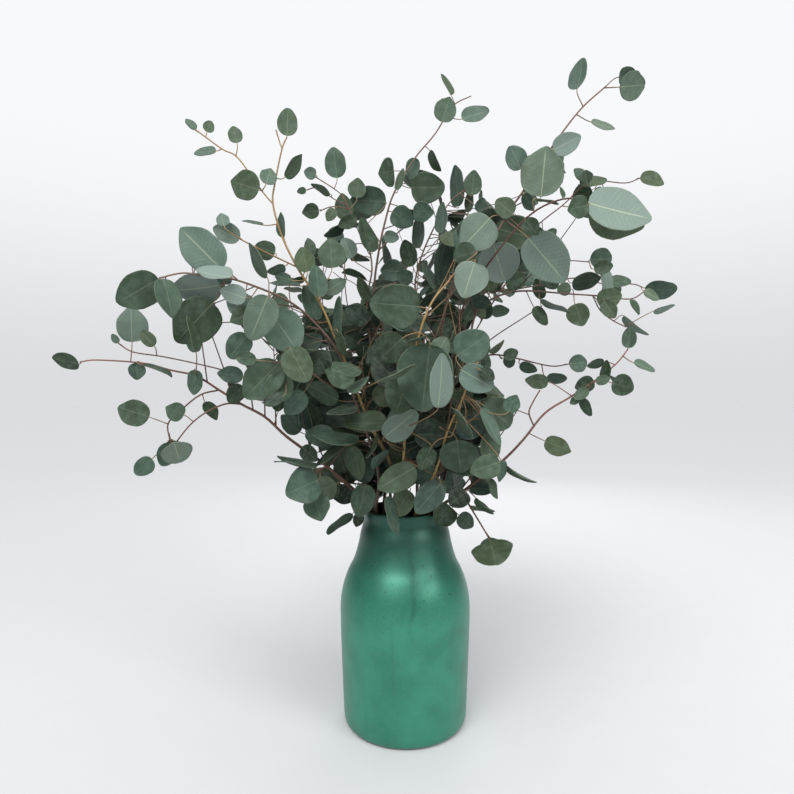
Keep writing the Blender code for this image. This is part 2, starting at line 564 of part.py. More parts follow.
    def hide_behind(self):
        """Fills the bunch by rule, behind the leaves that were read and at its back and sides."""
        front = [blade_shell(leaf) for leaf in self.leaves]
        verts, faces = [], []
        for shell_verts, shell_faces in front:
            faces += [tuple(i + len(verts) for i in face) for face in shell_faces]
            verts += shell_verts
        self.front = BVHTree.FromPolygons(verts, faces)
        tips, spots = [], []
        for name in STEMS:
            step = 40 * MM if STEMS[name].leaves else 14 * MM
            for shoot in self.shoots[name]:
                line = shoot.line()
                count = max(2, round(shoot.length / step))
                for i in range(count):
                    at = round((0.3 + 0.7 * i / count) * (len(line) - 1))
                    spots.append((name, line, at, i * NEXT_LEAF_TURN))
                if not STEMS[name].leaves:
                    tips.append((name, line, len(line) - 1, 0))
        self.draw.shuffle(spots)
        most = len(self.leaves) + RULE_LEAVES
        for name, line, at, azimuth in tips + spots:
            if len(self.leaves) < most:
                self.rule_leaf(name, line, at, azimuth)

    def rule_leaf(self, name, line, at, azimuth):
        """Grows a leaf at a point of a shoot, on the first side of it where it is clear."""
        (point, _), (before, _) = line[at], line[at - 1]
        ahead = (point - before).normalized()
        root = point.lerp(before, self.draw.uniform(0, 0.6))
        long = FULL_LONG * self.draw.uniform(0.6, 1.05) * (1 - 0.4 * at / len(line))
        for _ in range(RULE_TRIES):
            azimuth += self.draw.uniform(0.4, 1.2)
            side = Matrix.Rotation(azimuth, 3, ahead) @ ahead.orthogonal().normalized()
            lean = self.draw.uniform(0.7, 1.3)
            out = ahead * math.cos(lean) + side * math.sin(lean)
            base = root + out * long * self.draw.uniform(0.3, 0.5)
            along = (out - Vector((0, 0, self.draw.uniform(0, 0.5)))).normalized()
            face = side.cross(along).cross(along) + ahead * 0.6
            up = (face - along * along.dot(face)).normalized()
            up = Matrix.Rotation(self.draw.uniform(-0.7, 0.7), 3, along) @ up
            wide = long * self.draw.uniform(0.78, 0.95)
            tone = self.draw.choice((-2, -1, -1, 0, 0))
            leaf = Leaf(name, root, base, along, along.cross(up), up, long, wide, tone)
            if self.unseen(leaf) and self.settle_leaf(leaf):
                return

    def unseen(self, leaf):
        """Whether a leaf keeps within the dense part of the picture and behind the leaves read."""
        eye = Vector((EYE_X, -EYE_BACK, EYE_HIGH))
        points = [blade_point(leaf, share, across)
                  for share, across in ((0.5, 0), (0.5, 1), (0.5, -1), (1, 0), (0.8, 0.8), (0.8, -0.8))]
        for point in points:
            if not inside(*pixel_of(point), DENSE):
                return False
            if self.front.ray_cast(point, (point - eye).normalized())[0]:
                return False
        return True


def material(name, colour, roughness, coat=0.0):
    made = bpy.data.materials.new(name)
    made.use_nodes = True
    shader = made.node_tree.nodes["Principled BSDF"]
    shader.inputs["Base Color"].default_value = (*colour, 1)
    shader.inputs["Roughness"].default_value = roughness
    shader.inputs["Coat Weight"].default_value = coat
    return made


def mesh_object(name, shell, collection):
    mesh = bpy.data.meshes.new(name)
    verts, faces = shell
    mesh.from_pydata([tuple(vert) for vert in verts], [], faces)
    mesh.update()
    made = bpy.data.objects.new(name, mesh)
    collection.objects.link(made)
    return made


def make_bottle(collection):
    """The bottle: a Screw of half of its section."""
    profile = [(radius, 0, height) for radius, height in bottle_profile()]
    mesh = bpy.data.meshes.new("bottle")
    mesh.from_pydata(profile, [(i, i + 1) for i in range(len(profile) - 1)], [])
    bottle = bpy.data.objects.new("bottle", mesh)
    collection.objects.link(bottle)
    screw = bottle.modifiers.new("Screw", "SCREW")
    screw.steps = screw.render_steps = BOTTLE_STEPS
    screw.use_merge_vertices = True
    screw.merge_threshold = 0.0001
    bottle.data.materials.append(material("green glass", (0.005, 0.20, 0.05), 0.3, 0.5))


def leaf_solid(leaf):
    """(vertices, faces) of a petiole and its blade as one thin sheet, sunk to its stem's middle."""
    path = petiole_path(leaf)
    turn = leaf.along.rotation_difference((path[1] - path[0]).normalized())
    root_across, root_up = turn @ leaf.across * (ROOT_WIDE / 2), turn @ leaf.up * (ROOT_WIDE / 2)
    rows = [(leaf.base, leaf.across * (PETIOLE_WIDE / 2), leaf.up)]
    if len(path) == 3:
        half_turn = Quaternion().slerp(turn, 0.5)
        rows.insert(0, (path[1], half_turn @ rows[0][1], half_turn @ leaf.up))
    for share in stations(leaf):
        right, left = blade_point(leaf, share, 1), blade_point(leaf, share, -1)
        rows.append(((right + left) / 2, (right - left) / 2, leaf.up))
    sheet = [(middle + across * side, up) for middle, across, up in rows for side in (1, -1)]
    sheet.append((leaf.base + leaf.along * leaf.long, leaf.up))
    half = BLADE_THICK / 2
    verts = [point + up * half for point, up in sheet] + [point - up * half for point, up in sheet]
    count = len(sheet)
    last = count - 1
    top = [(i + 1, i, i + 2, i + 3) for i in range(0, last - 2, 2)] + [(last - 1, last - 2, last)]
    under = [tuple(i + count for i in reversed(face)) for face in top]
    rim = [*range(0, last, 2), last, *reversed(range(1, last, 2))]
    sides = [(b, a, a + count, b + count) for a, b in zip(rim, rim[1:])]
    ridge, right, left = 2 * count, 2 * count + 1, 2 * count + 2
    verts += [leaf.root + root_up, leaf.root + root_across - root_up, leaf.root - root_across - root_up]
    stalk = [(ridge, 0, 1), (ridge, right, count, 0), (ridge, 1, count + 1, left),
             (right, left, count + 1, count), (ridge, left, right)]
    return verts, top + under + sides + stalk


def keep_largest_shell(mesh):
    """Drops the loose scraps and fills the sealed hollows that a join can leave."""
    edit = bmesh.new()
    edit.from_mesh(mesh)
    left, shells = set(edit.verts), []
    while left:
        front = [left.pop()]
        shell = set(front)
        while front:
            near = {edge.other_vert(vert) for vert in front for edge in vert.link_edges} & left
            left -= near
            shell |= near
            front = list(near)
        shells.append(shell)
    shells.sort(key=len)
    for shell in shells[:-1]:
        bmesh.ops.delete(edit, geom=list(shell), context="VERTS")
    edit.to_mesh(mesh)
    edit.free()


def make_branch(name, plant, collection, bark):
    """One branch: its stem, with its twigs and leaves joined to it."""
    stem, *twigs = plant.shoots[name]
    branch = mesh_object(name, tube(stem.points, stem.radii, STEM_SIDES, True), collection)
    branch.data.materials.append(bark)
    repeats = bpy.data.collections.new(name + " twigs and leaves")
    bpy.context.scene.collection.children.link(repeats)
    for twig in twigs:
        mesh_object("twig", tube(twig.points, twig.radii, TWIG_SIDES), repeats)
    for leaf in plant.leaves:
        if leaf.stem == name:
            mesh_object("leaf", leaf_solid(leaf), repeats)
    join = branch.modifiers.new("Join", "BOOLEAN")
    join.operation = "UNION"
    join.operand_type = "COLLECTION"
    join.collection = repeats
    join.solver = "MANIFOLD"
    with bpy.context.temp_override(object=branch, active_object=branch):
        bpy.ops.object.modifier_apply(modifier=join.name)
    for repeat in list(repeats.objects):
        bpy.data.objects.remove(repeat)
    bpy.data.collections.remove(repeats)
    keep_largest_shell(branch.data)


def main():
    for startup in list(bpy.data.objects):
        bpy.data.objects.remove(startup)
    collection = bpy.data.collections.new("eucalyptus in bottle")
    bpy.context.scene.collection.children.link(collection)
    make_bottle(collection)
    plant = Plant()
    for name in STEMS:
        bark = material(name.replace("_", " ") + " bark", (0.20, 0.28, 0.20), 0.6)
        make_branch(name, plant, collection, bark)


main()
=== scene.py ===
"""A squat satin green bottle with a loose bunch of silver dollar eucalyptus, dressed for a render.

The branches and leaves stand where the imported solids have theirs: the same picture readings and the
same rules place them here. More leaves than the solids hold then fill the bunch.
"""

import math
import random
from collections import namedtuple

import bpy
from mathutils import Matrix, Vector
from mathutils.bvhtree import BVHTree


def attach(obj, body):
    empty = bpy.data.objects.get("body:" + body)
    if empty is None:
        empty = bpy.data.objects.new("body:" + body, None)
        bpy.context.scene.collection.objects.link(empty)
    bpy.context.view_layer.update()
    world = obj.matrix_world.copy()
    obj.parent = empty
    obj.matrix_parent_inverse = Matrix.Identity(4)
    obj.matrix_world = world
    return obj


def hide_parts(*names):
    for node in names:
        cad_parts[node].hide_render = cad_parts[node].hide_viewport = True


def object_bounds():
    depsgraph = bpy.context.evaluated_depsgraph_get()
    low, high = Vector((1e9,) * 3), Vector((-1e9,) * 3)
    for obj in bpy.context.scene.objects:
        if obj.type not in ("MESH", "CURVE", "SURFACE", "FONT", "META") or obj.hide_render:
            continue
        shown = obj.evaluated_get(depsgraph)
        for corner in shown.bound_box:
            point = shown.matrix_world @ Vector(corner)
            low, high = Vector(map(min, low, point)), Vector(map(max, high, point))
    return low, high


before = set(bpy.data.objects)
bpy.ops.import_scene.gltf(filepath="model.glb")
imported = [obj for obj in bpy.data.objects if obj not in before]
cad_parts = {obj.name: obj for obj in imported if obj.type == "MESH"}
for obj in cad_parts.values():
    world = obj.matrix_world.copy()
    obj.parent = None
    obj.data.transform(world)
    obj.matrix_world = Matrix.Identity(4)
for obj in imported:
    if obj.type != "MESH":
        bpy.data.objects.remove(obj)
CAD_LOW, CAD_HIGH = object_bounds()

MM = 0.001

# The bottle: heights and outer radii of its main stations.
BOTTLE_HIGH = 233 * MM
MOUTH_OUT = 47 * MM
NECK = (46.2 * MM, 221 * MM)
COLLAR = (49.6 * MM, 208 * MM)
SLOPE = [(52.2 * MM, 195 * MM), (57.2 * MM, 178 * MM), (63.0 * MM, 166.5 * MM), (67.8 * MM, 154 * MM)]
SHOULDER = [(70.9 * MM, 141 * MM), (72.2 * MM, 129 * MM), (72.2 * MM, 114 * MM)]
SKIRT = [(71.3 * MM, 84 * MM), (69.6 * MM, 43 * MM), (68.5 * MM, 16 * MM)]
FOOT_OUT, FOOT_ROUND = 67.9 * MM, 8 * MM
WALL, FLOOR, LIP_ROUND = 4 * MM, 8 * MM, 1.6 * MM
ROUGH_BOTTLE_STEPS, FINE_BOTTLE_STEPS, FINE_PROFILE_STEPS = 32, 144, 5
SAME_SPOT = 1e-9

# The photograph's camera: a level 26 mm lens, in pixels of the photograph and in metres.
PICTURE_PX, SENSOR_MM = 794, 36.0
LENS_PX, MIDDLE_X, MIDDLE_Y = 568, 396.5, 393.5
EYE_X, EYE_BACK, EYE_HIGH = -9.6 * MM, 640 * MM, 362 * MM
EYE = Vector((EYE_X, -EYE_BACK, EYE_HIGH))

# The branches: their thickness at foot and tip, and how they turn inside the bottle.
FOOT_THICK, TIP_THICK, TWIG_THICK, TWIG_TO_STEM = 5.2 * MM, 1.7 * MM, 2.6 * MM, 1.5
FOOT_TWIST, FOOT_SPREAD, BELOW_MOUTH, HIDDEN_POINTS = math.radians(70), 1.1, 0.85, 2
SHELL_SIDES, PETIOLE_SHELL_SIDES = 6, 4
LINE_STEPS, FINE_LINE_STEPS = 4, 8
PLANT_SEED = 7

# Steps in depth, in mm, that a shoot or a leaf tries in turn until it is clear.
SHOOT_STEPS = [0] + [n * side for n in range(4, 40, 4) for side in (1, -1)]
LEAF_STEPS = [0] + [n * side for n in range(3, 75, 3) for side in (-1, 1)]
NEARER_STEPS = range(0, 100, 3)

# The leaves as the solids have them.
PETIOLE_WIDE, BLADE_THICK = 1.8 * MM, 0.8 * MM
CLEAR, SINK = 0.4 * MM, 1.5 * MM
SHELL_SHARES, SHELL_GROWN = (0.146, 0.5, 0.854), 1.06
KNEE_LONG, KNEE_BEND = 3.5 * MM, math.radians(50)
CUP = 0.12
SHORT_PETIOLE_PX, DRIFT, BACKWARD_COST = 3, 0.35, 1.7
WIDE_RATIO, ROLLED_RATIO = 0.88, 0.74
TIPPED_ABOVE, ROLLED_BELOW = 0.95, 0.62

# Leaves that follow a rule: how many, how far apart, and the least and most that each may take.
RULE_LEAVES, RULE_TRIES, READ_STEP, BARE_STEP = 58, 12, 40 * MM, 14 * MM
NEXT_LEAF_TURN, NEXT_TRY_TURN = math.radians(97), (0.4, 1.2)
FULL_LONG, LONG_SHARE, TIP_SHORTER = 48 * MM, (0.6, 1.05), 0.4
ROOT_BACK, LEAN, STALK_SHARE, DROOP = (0, 0.6), (0.7, 1.3), (0.3, 0.5), (0, 0.5)
FACES_AHEAD, ROLL, WIDE_SHARE = 0.6, (-0.7, 0.7), (0.78, 0.95)
RULE_TONES = (-2, -1, -1, 0, 0)

# More leaves and side twigs than the solids hold. They stay behind the leaves that were read, or in
# the part of the picture with no gap in the foliage.
SIDE_TWIG_STEP, SIDE_TWIG_LONG, SIDE_TWIG_TRIES = 40 * MM, 105 * MM, 14
SIDE_TWIG_THICK, SIDE_TWIG_THIN, SIDE_TWIG_TO_STEM = 1.9 * MM, 1.1 * MM, 1.2
SIDE_TWIG_LEAN, SIDE_TWIG_SHARE, SIDE_TWIG_RISE = (0.7, 1.6), (0.5, 1.1), (0.0, 0.25)
SIDE_TWIG_POINTS, FINE_TWIG_TAPER = (0, 0.35, 0.7, 1), 0.8
MORE_LEAVES, MORE_LEAVES_STEP, LEAST_RUN = 700, 7 * MM, 0.1 * MM
BOX_SPARE = 4 * MM
SHOWS_ENOUGH, SHOWS_WELL = 0.7, 0.9

# Where the rules put leaves and side twigs on a shoot: the first one, and how far the rest reach.
RULE_SPREAD, SIDE_TWIG_SPREAD, MORE_LEAVES_SPREAD = (0.3, 0.7), (0.1, 0.8), (0.03, 0.97)

# Spots of a blade: the share of its length, and from -1 to 1 across.
EDGE_SPOTS = ((0.5, 0), (0.5, 1), (0.5, -1), (1, 0), (0.8, 0.8), (0.8, -0.8))
ALL_SPOTS = (*EDGE_SPOTS, (0.2, 0.8), (0.2, -0.8))
MIDDLE_SPOTS = ((0.25, 0), (0.5, 0), (0.75, 0), (0.5, 0.6), (0.5, -0.6))

# Kinds of solid on a stem.
WOOD = ("stem", "twig", "petiole")
GROWTH = (*WOOD, "blade")

# Fine leaves: the grid of a blade, and the least and most by which leaves differ.
BLADE_ROWS, BLADE_COLUMNS, LEAF_SEED = 14, 8, 1000
FINE_BLADE_THICK, NARROWEST = 0.4 * MM, 0.3 * MM
WAVE, BOW = 0.03, 0.05
POINTED, WAVY, LOPSIDED, FOLDED = (0.15, 0.65), (0.3, 1.2), (-0.08, 0.08), (-0.10, 0.16)
POINT_FROM, POINT_POWER, CUP_POWER = 0.62, 1.6, 1.5
LONG_RIPPLE, SHORT_RIPPLE = 8, 19
LONG_RIPPLE_DEEP, SHORT_RIPPLE_DEEP = 0.02, 0.01
STALK_THICK, STALK_STEPS, STALK_SIDES, STALK_RUN = 1.05 * MM, 7, 6, 0.8
STALK_OFF, STALK_TURN, STALK_TURN_MOST = 0.35, 0.45, 6 * MM
STALK_FOOT, STALK_TAPER = 1.15, 0.3
RIB_THICK, RIB_END, RIB_SHARES = 0.7 * MM, 0.08 * MM, (0.06, 0.2, 0.4, 0.6, 0.78)

# Fine bark, and the painted shade of twigs and petioles: how bright they are painted at the bottle's mouth.
BARK_STEPS, BARK_SIDES, TWIG_BARK_SIDES, TWIG_RUN = 5, 9, 7, 0.55
SLIMMED, MOUTH_HIGH, PAINTED_FOOT_BRIGHTNESS = 0.18, 260 * MM, 0.4

# Painted shade and light: how much darker the leaves and the bark are painted that only fill the foliage,
# that are low in the bunch and that are set nearer; how much darker the middle of the bunch and lighter its
# outside are painted; and where the middle of the bunch ends and its outside starts.
PAINTED_FILL_SHADE, PAINTED_BARK_SHADE, PAINTED_LOW_SHADE, PAINTED_NEARER_SHADE = 1.3, 0.6, 1.1, 0.5
INSIDE, OUTSIDE, PAINTED_DEPTH_SHADE = 100 * MM, 180 * MM, 0.9
TONE_SPREAD, FILL_TONE_SPREAD = 0.45, 0.9

# Leaf colours, linear. The darkest green is painted shade; the margin colour is partly painted rim light.
PAINTED_SHADE_GREEN, DEEP_GREEN, MID_GREEN = (0.005, 0.009, 0.004), (0.023, 0.043, 0.020), (0.057, 0.094, 0.056)
PALE_GREEN, BLUE_GREEN, OLIVE = (0.198, 0.258, 0.229), (0.060, 0.115, 0.098), (0.070, 0.092, 0.036)
WAX_BLOOM, DARK_GRAIN, VEIN = (0.17, 0.255, 0.195), (0.030, 0.048, 0.030), (0.38, 0.47, 0.37)
MIDRIB, PALE_MARGIN_AND_RIM_LIGHT, LEAF_SPOT = (0.42, 0.48, 0.33), (0.25, 0.26, 0.17), (0.10, 0.055, 0.03)

# Bottle colours, linear. The band, neck and inside greens are painted shade, the neck's also painted
# reflection.
EMERALD, LIGHT_EMERALD, SHOULDER_SHADE_GREEN = (0.029, 0.182, 0.120), (0.040, 0.247, 0.165), (0.020, 0.160, 0.103)
STREAK, GLINT, FLECK = (0.014, 0.090, 0.058), (0.060, 0.250, 0.175), (0.008, 0.045, 0.032)
DRIP, NECK_SHADE_GREEN, INSIDE_SHADE_GREEN = (0.008, 0.055, 0.040), (0.010, 0.045, 0.032), (0.008, 0.028, 0.020)

# Bark colours, linear: of each branch from foot to tip, and what lies over them.
GOLDEN = [(0.13, 0.11, 0.03), (0.27, 0.18, 0.05), (0.25, 0.13, 0.05)]
RED = [(0.06, 0.03, 0.022), (0.10, 0.034, 0.025), (0.19, 0.055, 0.038)]
DARK_RED = [(0.045, 0.022, 0.018), (0.060, 0.024, 0.018), (0.105, 0.036, 0.028)]
BROWN = [(0.06, 0.04, 0.03), (0.085, 0.045, 0.03), (0.13, 0.062, 0.042)]
BARKS = {
    "stem_upper_left": GOLDEN, "stem_left_low": RED, "stem_left_front": BROWN, "stem_top_left": BROWN,
    "stem_top_centre": BROWN, "stem_top_right": BROWN, "stem_front_centre": GOLDEN,
    "stem_upper_right": DARK_RED, "stem_right_high": DARK_RED, "stem_right": DARK_RED,
    "stem_right_low": RED, "stem_front_right": GOLDEN,
}
DULL_BARK, BARK_STREAK, BARK_PORE = (0.12, 0.10, 0.07), (0.40, 0.26, 0.16), (0.30, 0.24, 0.18)
PALE_STALK, PALE_SHARE, STALK_PALE_LEAST, STALK_PALE_SPREAD = Vector((0.30, 0.29, 0.14)), 0.8, 0.35, 0.5

# The studio: its floor, and its lights as (name, place, watts, side).
FLOOR_REACH, FLOOR_ROUGH = 14.0, 0.9
DARK_PAPER, LIGHT_PAPER, ROOM_LIGHT = (0.495, 0.500, 0.507), (0.510, 0.515, 0.519), (0.97, 0.98, 1.0)
SUN_PLACE, SUN_POWER, SUN_ANGLE = (-0.5, -1.5, 2.4), 2.0, math.radians(40)
SOFT_BOXES = [
    ("left_box", (-0.7, -1.1, 1.0), 4.0, 0.8),
    ("right_box", (1.55, -1.40, 1.25), 24.0, 1.05),
    ("back_box", (0.3, 1.5, 1.0), 5.0, 0.8),
]
LIT_POINT = Vector((0, 0, 0.3))

Stem = namedtuple("Stem", "mouth path twigs leaves")
Leaf = namedtuple("Leaf", "stem root base along across up long wide tone")

# Each stem: its place in the bottle's mouth (degrees, mm from the axis), then its path as
# (pixel, pixel, mm behind the axis), its twigs the same way, each starting at a pixel on the stem,
# and its leaves as (base pixel, tip pixel, width in pixels, tone from -2 dark to 2 light).
# The tones are how dark each leaf looks, so they hold painted shade as well as each leaf's own colour.
STEMS = {
    "stem_upper_left": Stem(
        (235, 18),
        [(392, 468, -48), (372, 428, -62), (357, 392, -72), (336, 340, -82), (320, 303, -87),
         (297, 267, -90), (282, 236, -90), (273, 204, -90), (275, 183, -88), (282, 149, -85),
         (287, 137, -84)],
        [[(273, 204), (262, 191, -92), (238, 158, -92), (222, 149, -90), (196, 130, -86)],
         [(297, 267), (280, 259, -96), (265, 252, -100), (240, 239, -104)],
         [(282, 149), (279, 140, -84), (276, 130, -84)]],
        [(195, 130, 186, 119, 8, 0), (207, 132, 211, 121, 11, 0), (216, 151, 194, 154, 8, 0),
         (237, 143, 233, 126, 14, 0), (259, 190, 230, 181, 29, -1), (266, 184, 271, 168, 17, 0),
         (287, 136, 288, 108, 20, 0), (285, 177, 302, 154, 12, 0), (284, 237, 281, 212, 9, 0),
         (240, 238, 213, 228, 20, 1), (224, 226, 221, 213, 13, 0), (263, 225, 242, 221, 3, -1),
         (275, 253, 255, 246, 19, -1), (285, 266, 267, 272, 10, 1), (291, 280, 275, 276, 11, 0),
         (300, 286, 269, 283, 6, -2), (307, 272, 302, 247, 20, -1), (311, 256, 308, 238, 12, -1),
         (319, 297, 315, 265, 19, 0), (325, 292, 346, 280, 15, 1), (317, 320, 304, 285, 16, 0),
         (341, 336, 340, 296, 9, 1), (332, 268, 330, 238, 28, 0), (338, 400, 306, 384, 20, 1),
         (379, 381, 415, 364, 5, 1), (386, 424, 344, 424, 19, 0), (387, 421, 411, 431, 34, 2),
         (393, 468, 400, 495, 34, 1)],
    ),
    "stem_left_low": Stem(
        (185, 38),
        [(352, 488, -45), (320, 461, -60), (287, 437, -68), (265, 417, -70), (241, 404, -72),
         (219, 390, -70), (196, 376, -66), (170, 370, -62), (142, 363, -58), (97, 360, -50),
         (80, 362, -48)],
        [[(221, 391), (200, 395, -74), (180, 411, -76), (168, 424, -78), (170, 441, -80)],
         [(241, 404), (225, 404, -78), (205, 413, -84), (190, 425, -88), (177, 441, -90)],
         [(352, 488), (338, 478, -70), (327, 467, -85), (316, 472, -95)]],
        [(79, 364, 52, 358, 15, -1), (132, 342, 131, 306, 29, 1), (137, 363, 137, 380, 16, 0),
         (142, 365, 172, 377, 4, -1), (195, 370, 194, 395, 15, 0), (196, 352, 187, 316, 9, 0),
         (149, 417, 118, 407, 26, -1), (184, 415, 166, 407, 19, 0), (205, 402, 217, 420, 12, -1),
         (174, 442, 180, 463, 29, 2), (171, 443, 162, 466, 20, -1), (152, 459, 135, 474, 18, 0),
         (243, 386, 228, 402, 18, -2), (318, 464, 277, 456, 8, 0), (316, 468, 274, 461, 3, -1),
         (318, 480, 287, 494, 36, -1), (336, 484, 320, 491, 25, 0), (313, 497, 322, 520, 26, 0),
         (355, 492, 333, 498, 20, -2), (366, 484, 358, 517, 24, 1), (352, 514, 327, 534, 9, 0),
         (360, 513, 356, 527, 11, -2), (302, 447, 317, 461, 16, -2), (343, 447, 316, 466, 8, 1),
         (352, 446, 361, 480, 19, 0)],
    ),
    "stem_left_front": Stem(
        (213, 38),
        [(378, 470, -48), (355, 400, -72), (338, 352, -84), (312, 320, -94), (290, 302, -104),
         (262, 289, -114), (232, 279, -124), (205, 276, -132), (183, 273, -136), (159, 278, -138)],
        [[(352, 392), (330, 385, -92), (310, 372, -104), (290, 362, -112), (272, 362, -118)],
         [(300, 367), (262, 385, -98), (243, 377, -92), (215, 368, -86), (165, 357, -78), (133, 352, -75),
          (118, 343, -74)]],
        [(159, 279, 117, 303, 36, -1), (163, 279, 172, 318, 24, 0), (221, 285, 172, 290, 30, 2),
         (222, 270, 180, 228, 38, 0), (213, 303, 176, 342, 44, -2), (232, 277, 196, 270, 14, 2),
         (267, 277, 249, 243, 11, 0), (272, 314, 297, 350, 40, 0), (268, 296, 250, 340, 32, 1),
         (245, 292, 232, 314, 24, 2), (252, 312, 230, 322, 18, 0), (248, 335, 229, 358, 24, -2),
         (256, 360, 236, 357, 14, -1), (279, 363, 245, 398, 36, 0), (273, 401, 288, 368, 28, 0),
         (290, 348, 308, 382, 30, -1), (243, 377, 217, 373, 17, -2), (283, 396, 264, 404, 12, -2),
         (300, 432, 281, 415, 18, 0), (304, 392, 285, 414, 22, 0), (318, 434, 308, 402, 14, 0),
         (334, 436, 305, 436, 22, 0), (359, 441, 314, 431, 11, 1), (154, 346, 141, 331, 13, -1),
         (118, 343, 112, 334, 7, 0)],
    ),
    "stem_top_left": Stem(
        (150, 18),
        [(384, 440, 8), (370, 340, 15), (367, 300, 18), (372, 268, 18), (366, 240, 18), (352, 215, 16),
         (342, 194, 14)],
        [[(342, 196), (333, 188, 12), (322, 181, 10), (314, 176, 10)],
         [(350, 212), (340, 207, 10), (330, 207, 8), (320, 211, 6)],
         [(348, 206), (334, 199, 18), (318, 188, 20), (306, 190, 20)]],
        [(337, 178, 333, 147, 21, 0), (316, 175, 304, 171, 12, 1), (330, 194, 311, 184, 7, -2),
         (306, 190, 297, 192, 7, 0), (319, 210, 302, 213, 15, -1), (335, 209, 327, 221, 11, 1),
         (345, 220, 342, 193, 18, -2), (357, 198, 358, 178, 18, 0), (386, 202, 350, 200, 28, -1),
         (356, 218, 338, 226, 14, -2), (344, 226, 324, 236, 9, 0), (352, 258, 343, 238, 17, 1),
         (372, 252, 362, 218, 16, -1), (370, 300, 358, 277, 12, -2), (345, 335, 363, 345, 18, -2),
         (368, 318, 345, 308, 20, -1), (303, 348, 322, 336, 18, -2)],
    ),
    "stem_top_centre": Stem(
        (90, 18),
        [(392, 440, 20), (376, 340, 30), (374, 290, 32), (379, 250, 32), (385, 222, 32), (394, 193, 34),
         (415, 158, 38), (435, 134, 42), (453, 106, 46), (471, 96, 46)],
        [[(379, 250), (395, 235, 40), (412, 222, 44)],
         [(374, 290), (395, 283, 40), (412, 281, 44)]],
        [(451, 95, 441, 74, 6, 0), (442, 122, 450, 97, 22, 0), (462, 119, 489, 110, 15, 1),
         (430, 151, 441, 171, 9, 0), (415, 158, 410, 180, 14, -1), (394, 171, 379, 173, 27, 0),
         (398, 190, 403, 168, 8, 1), (411, 188, 445, 187, 30, 0), (392, 212, 413, 225, 22, -2),
         (413, 210, 434, 213, 20, 0), (384, 236, 399, 238, 12, 1), (413, 266, 404, 240, 17, -1),
         (403, 272, 380, 270, 22, 1), (412, 281, 397, 273, 16, -2)],
    ),
    "stem_top_right": Stem(
        (40, 18),
        [(418, 440, 15), (424, 350, 30), (420, 310, 38), (415, 285, 42), (422, 255, 46), (437, 222, 50),
         (452, 200, 54), (468, 188, 56)],
        [],
        [(459, 206, 455, 165, 15, 0), (472, 195, 474, 170, 18, 0), (469, 212, 469, 190, 9, 1),
         (478, 212, 484, 198, 12, -2), (482, 208, 481, 190, 4, 0), (443, 233, 443, 202, 12, 1),
         (420, 248, 420, 213, 12, 1), (446, 243, 436, 284, 18, -2), (434, 289, 423, 263, 9, 1),
         (430, 286, 420, 297, 5, -2), (456, 311, 431, 307, 14, -2), (452, 322, 432, 332, 16, -2)],
    ),
    "stem_front_centre": Stem(
        (262, 34),
        [(404, 450, -85), (408, 390, -125), (420, 332, -140), (432, 302, -140), (447, 283, -130),
         (460, 266, -122)],
        [],
        [(420, 307, 370, 303, 44, -1), (476, 252, 453, 258, 24, 0), (475, 262, 463, 298, 34, 2),
         (430, 345, 422, 412, 56, 0), (410, 370, 396, 414, 36, -1), (438, 408, 442, 353, 23, 2),
         (436, 358, 446, 337, 20, 1), (401, 442, 436, 425, 12, 0), (432, 448, 420, 470, 18, 0),
         (436, 468, 412, 482, 20, -1), (410, 491, 392, 518, 22, 0), (386, 497, 398, 536, 12, 1),
         (441, 483, 416, 513, 26, -2), (403, 338, 378, 360, 32, -2)],
    ),
    "stem_upper_right": Stem(
        (320, 18),
        [(430, 430, -45), (440, 340, -65), (452, 285, -80), (478, 252, -92), (493, 238, -96),
         (511, 208, -98), (522, 193, -98), (552, 147, -94), (580, 110, -88), (605, 87, -82)],
        [],
        [(577, 89, 582, 58, 16, 0), (619, 77, 637, 75, 18, 0), (620, 87, 645, 85, 27, 0),
         (591, 122, 615, 129, 7, 1), (553, 150, 581, 136, 21, 1), (541, 197, 546, 146, 42, 1),
         (521, 169, 510, 146, 21, 0), (513, 214, 496, 200, 20, 0), (524, 194, 534, 211, 12, -1),
         (490, 218, 462, 248, 38, 2), (493, 243, 505, 283, 42, 2), (529, 237, 493, 228, 36, 0),
         (528, 238, 565, 282, 42, 1)],
    ),
    "stem_right_high": Stem(
        (312, 38),
        [(446, 440, -28), (456, 345, -40), (466, 300, -60), (495, 255, -95), (530, 215, -125),
         (563, 199, -150), (585, 202, -165)],
        [[(466, 300), (505, 255, -20), (540, 223, 10), (563, 205, 30), (590, 182, 50), (625, 183, 60),
          (640, 178, 60)]],
        [(588, 203, 652, 219, 38, 2), (592, 205, 644, 227, 44, 0), (640, 178, 664, 184, 13, -2),
         (587, 180, 574, 169, 9, -2), (587, 183, 586, 170, 12, -2), (580, 184, 607, 180, 11, -2),
         (592, 190, 572, 200, 22, -2), (588, 205, 568, 210, 22, -2), (563, 198, 560, 187, 4, -1),
         (536, 199, 559, 204, 3, -1), (545, 240, 556, 229, 10, -1), (525, 220, 538, 235, 16, -2)],
    ),
    "stem_right": Stem(
        (5, 38),
        [(452, 440, 12), (466, 365, 15), (475, 315, 18), (490, 300, 20), (520, 291, 22), (570, 294, 26),
         (600, 296, 28), (630, 299, 30), (645, 291, 30)],
        [[(475, 315), (483, 293, 40), (505, 291, 48), (545, 284, 55), (575, 278, 60), (605, 284, 62),
          (632, 284, 62), (642, 287, 60)],
         [(545, 284), (557, 268, 64), (568, 261, 66), (590, 262, 68)],
         [(592, 296), (600, 310, 24), (612, 320, 20), (626, 327, 18)],
         [(466, 365), (490, 355, -5), (515, 358, -10), (550, 366, -12), (569, 364, -12)]],
        [(608, 296, 603, 264, 11, 1), (572, 283, 601, 278, 17, -2), (609, 284, 631, 281, 12, -1),
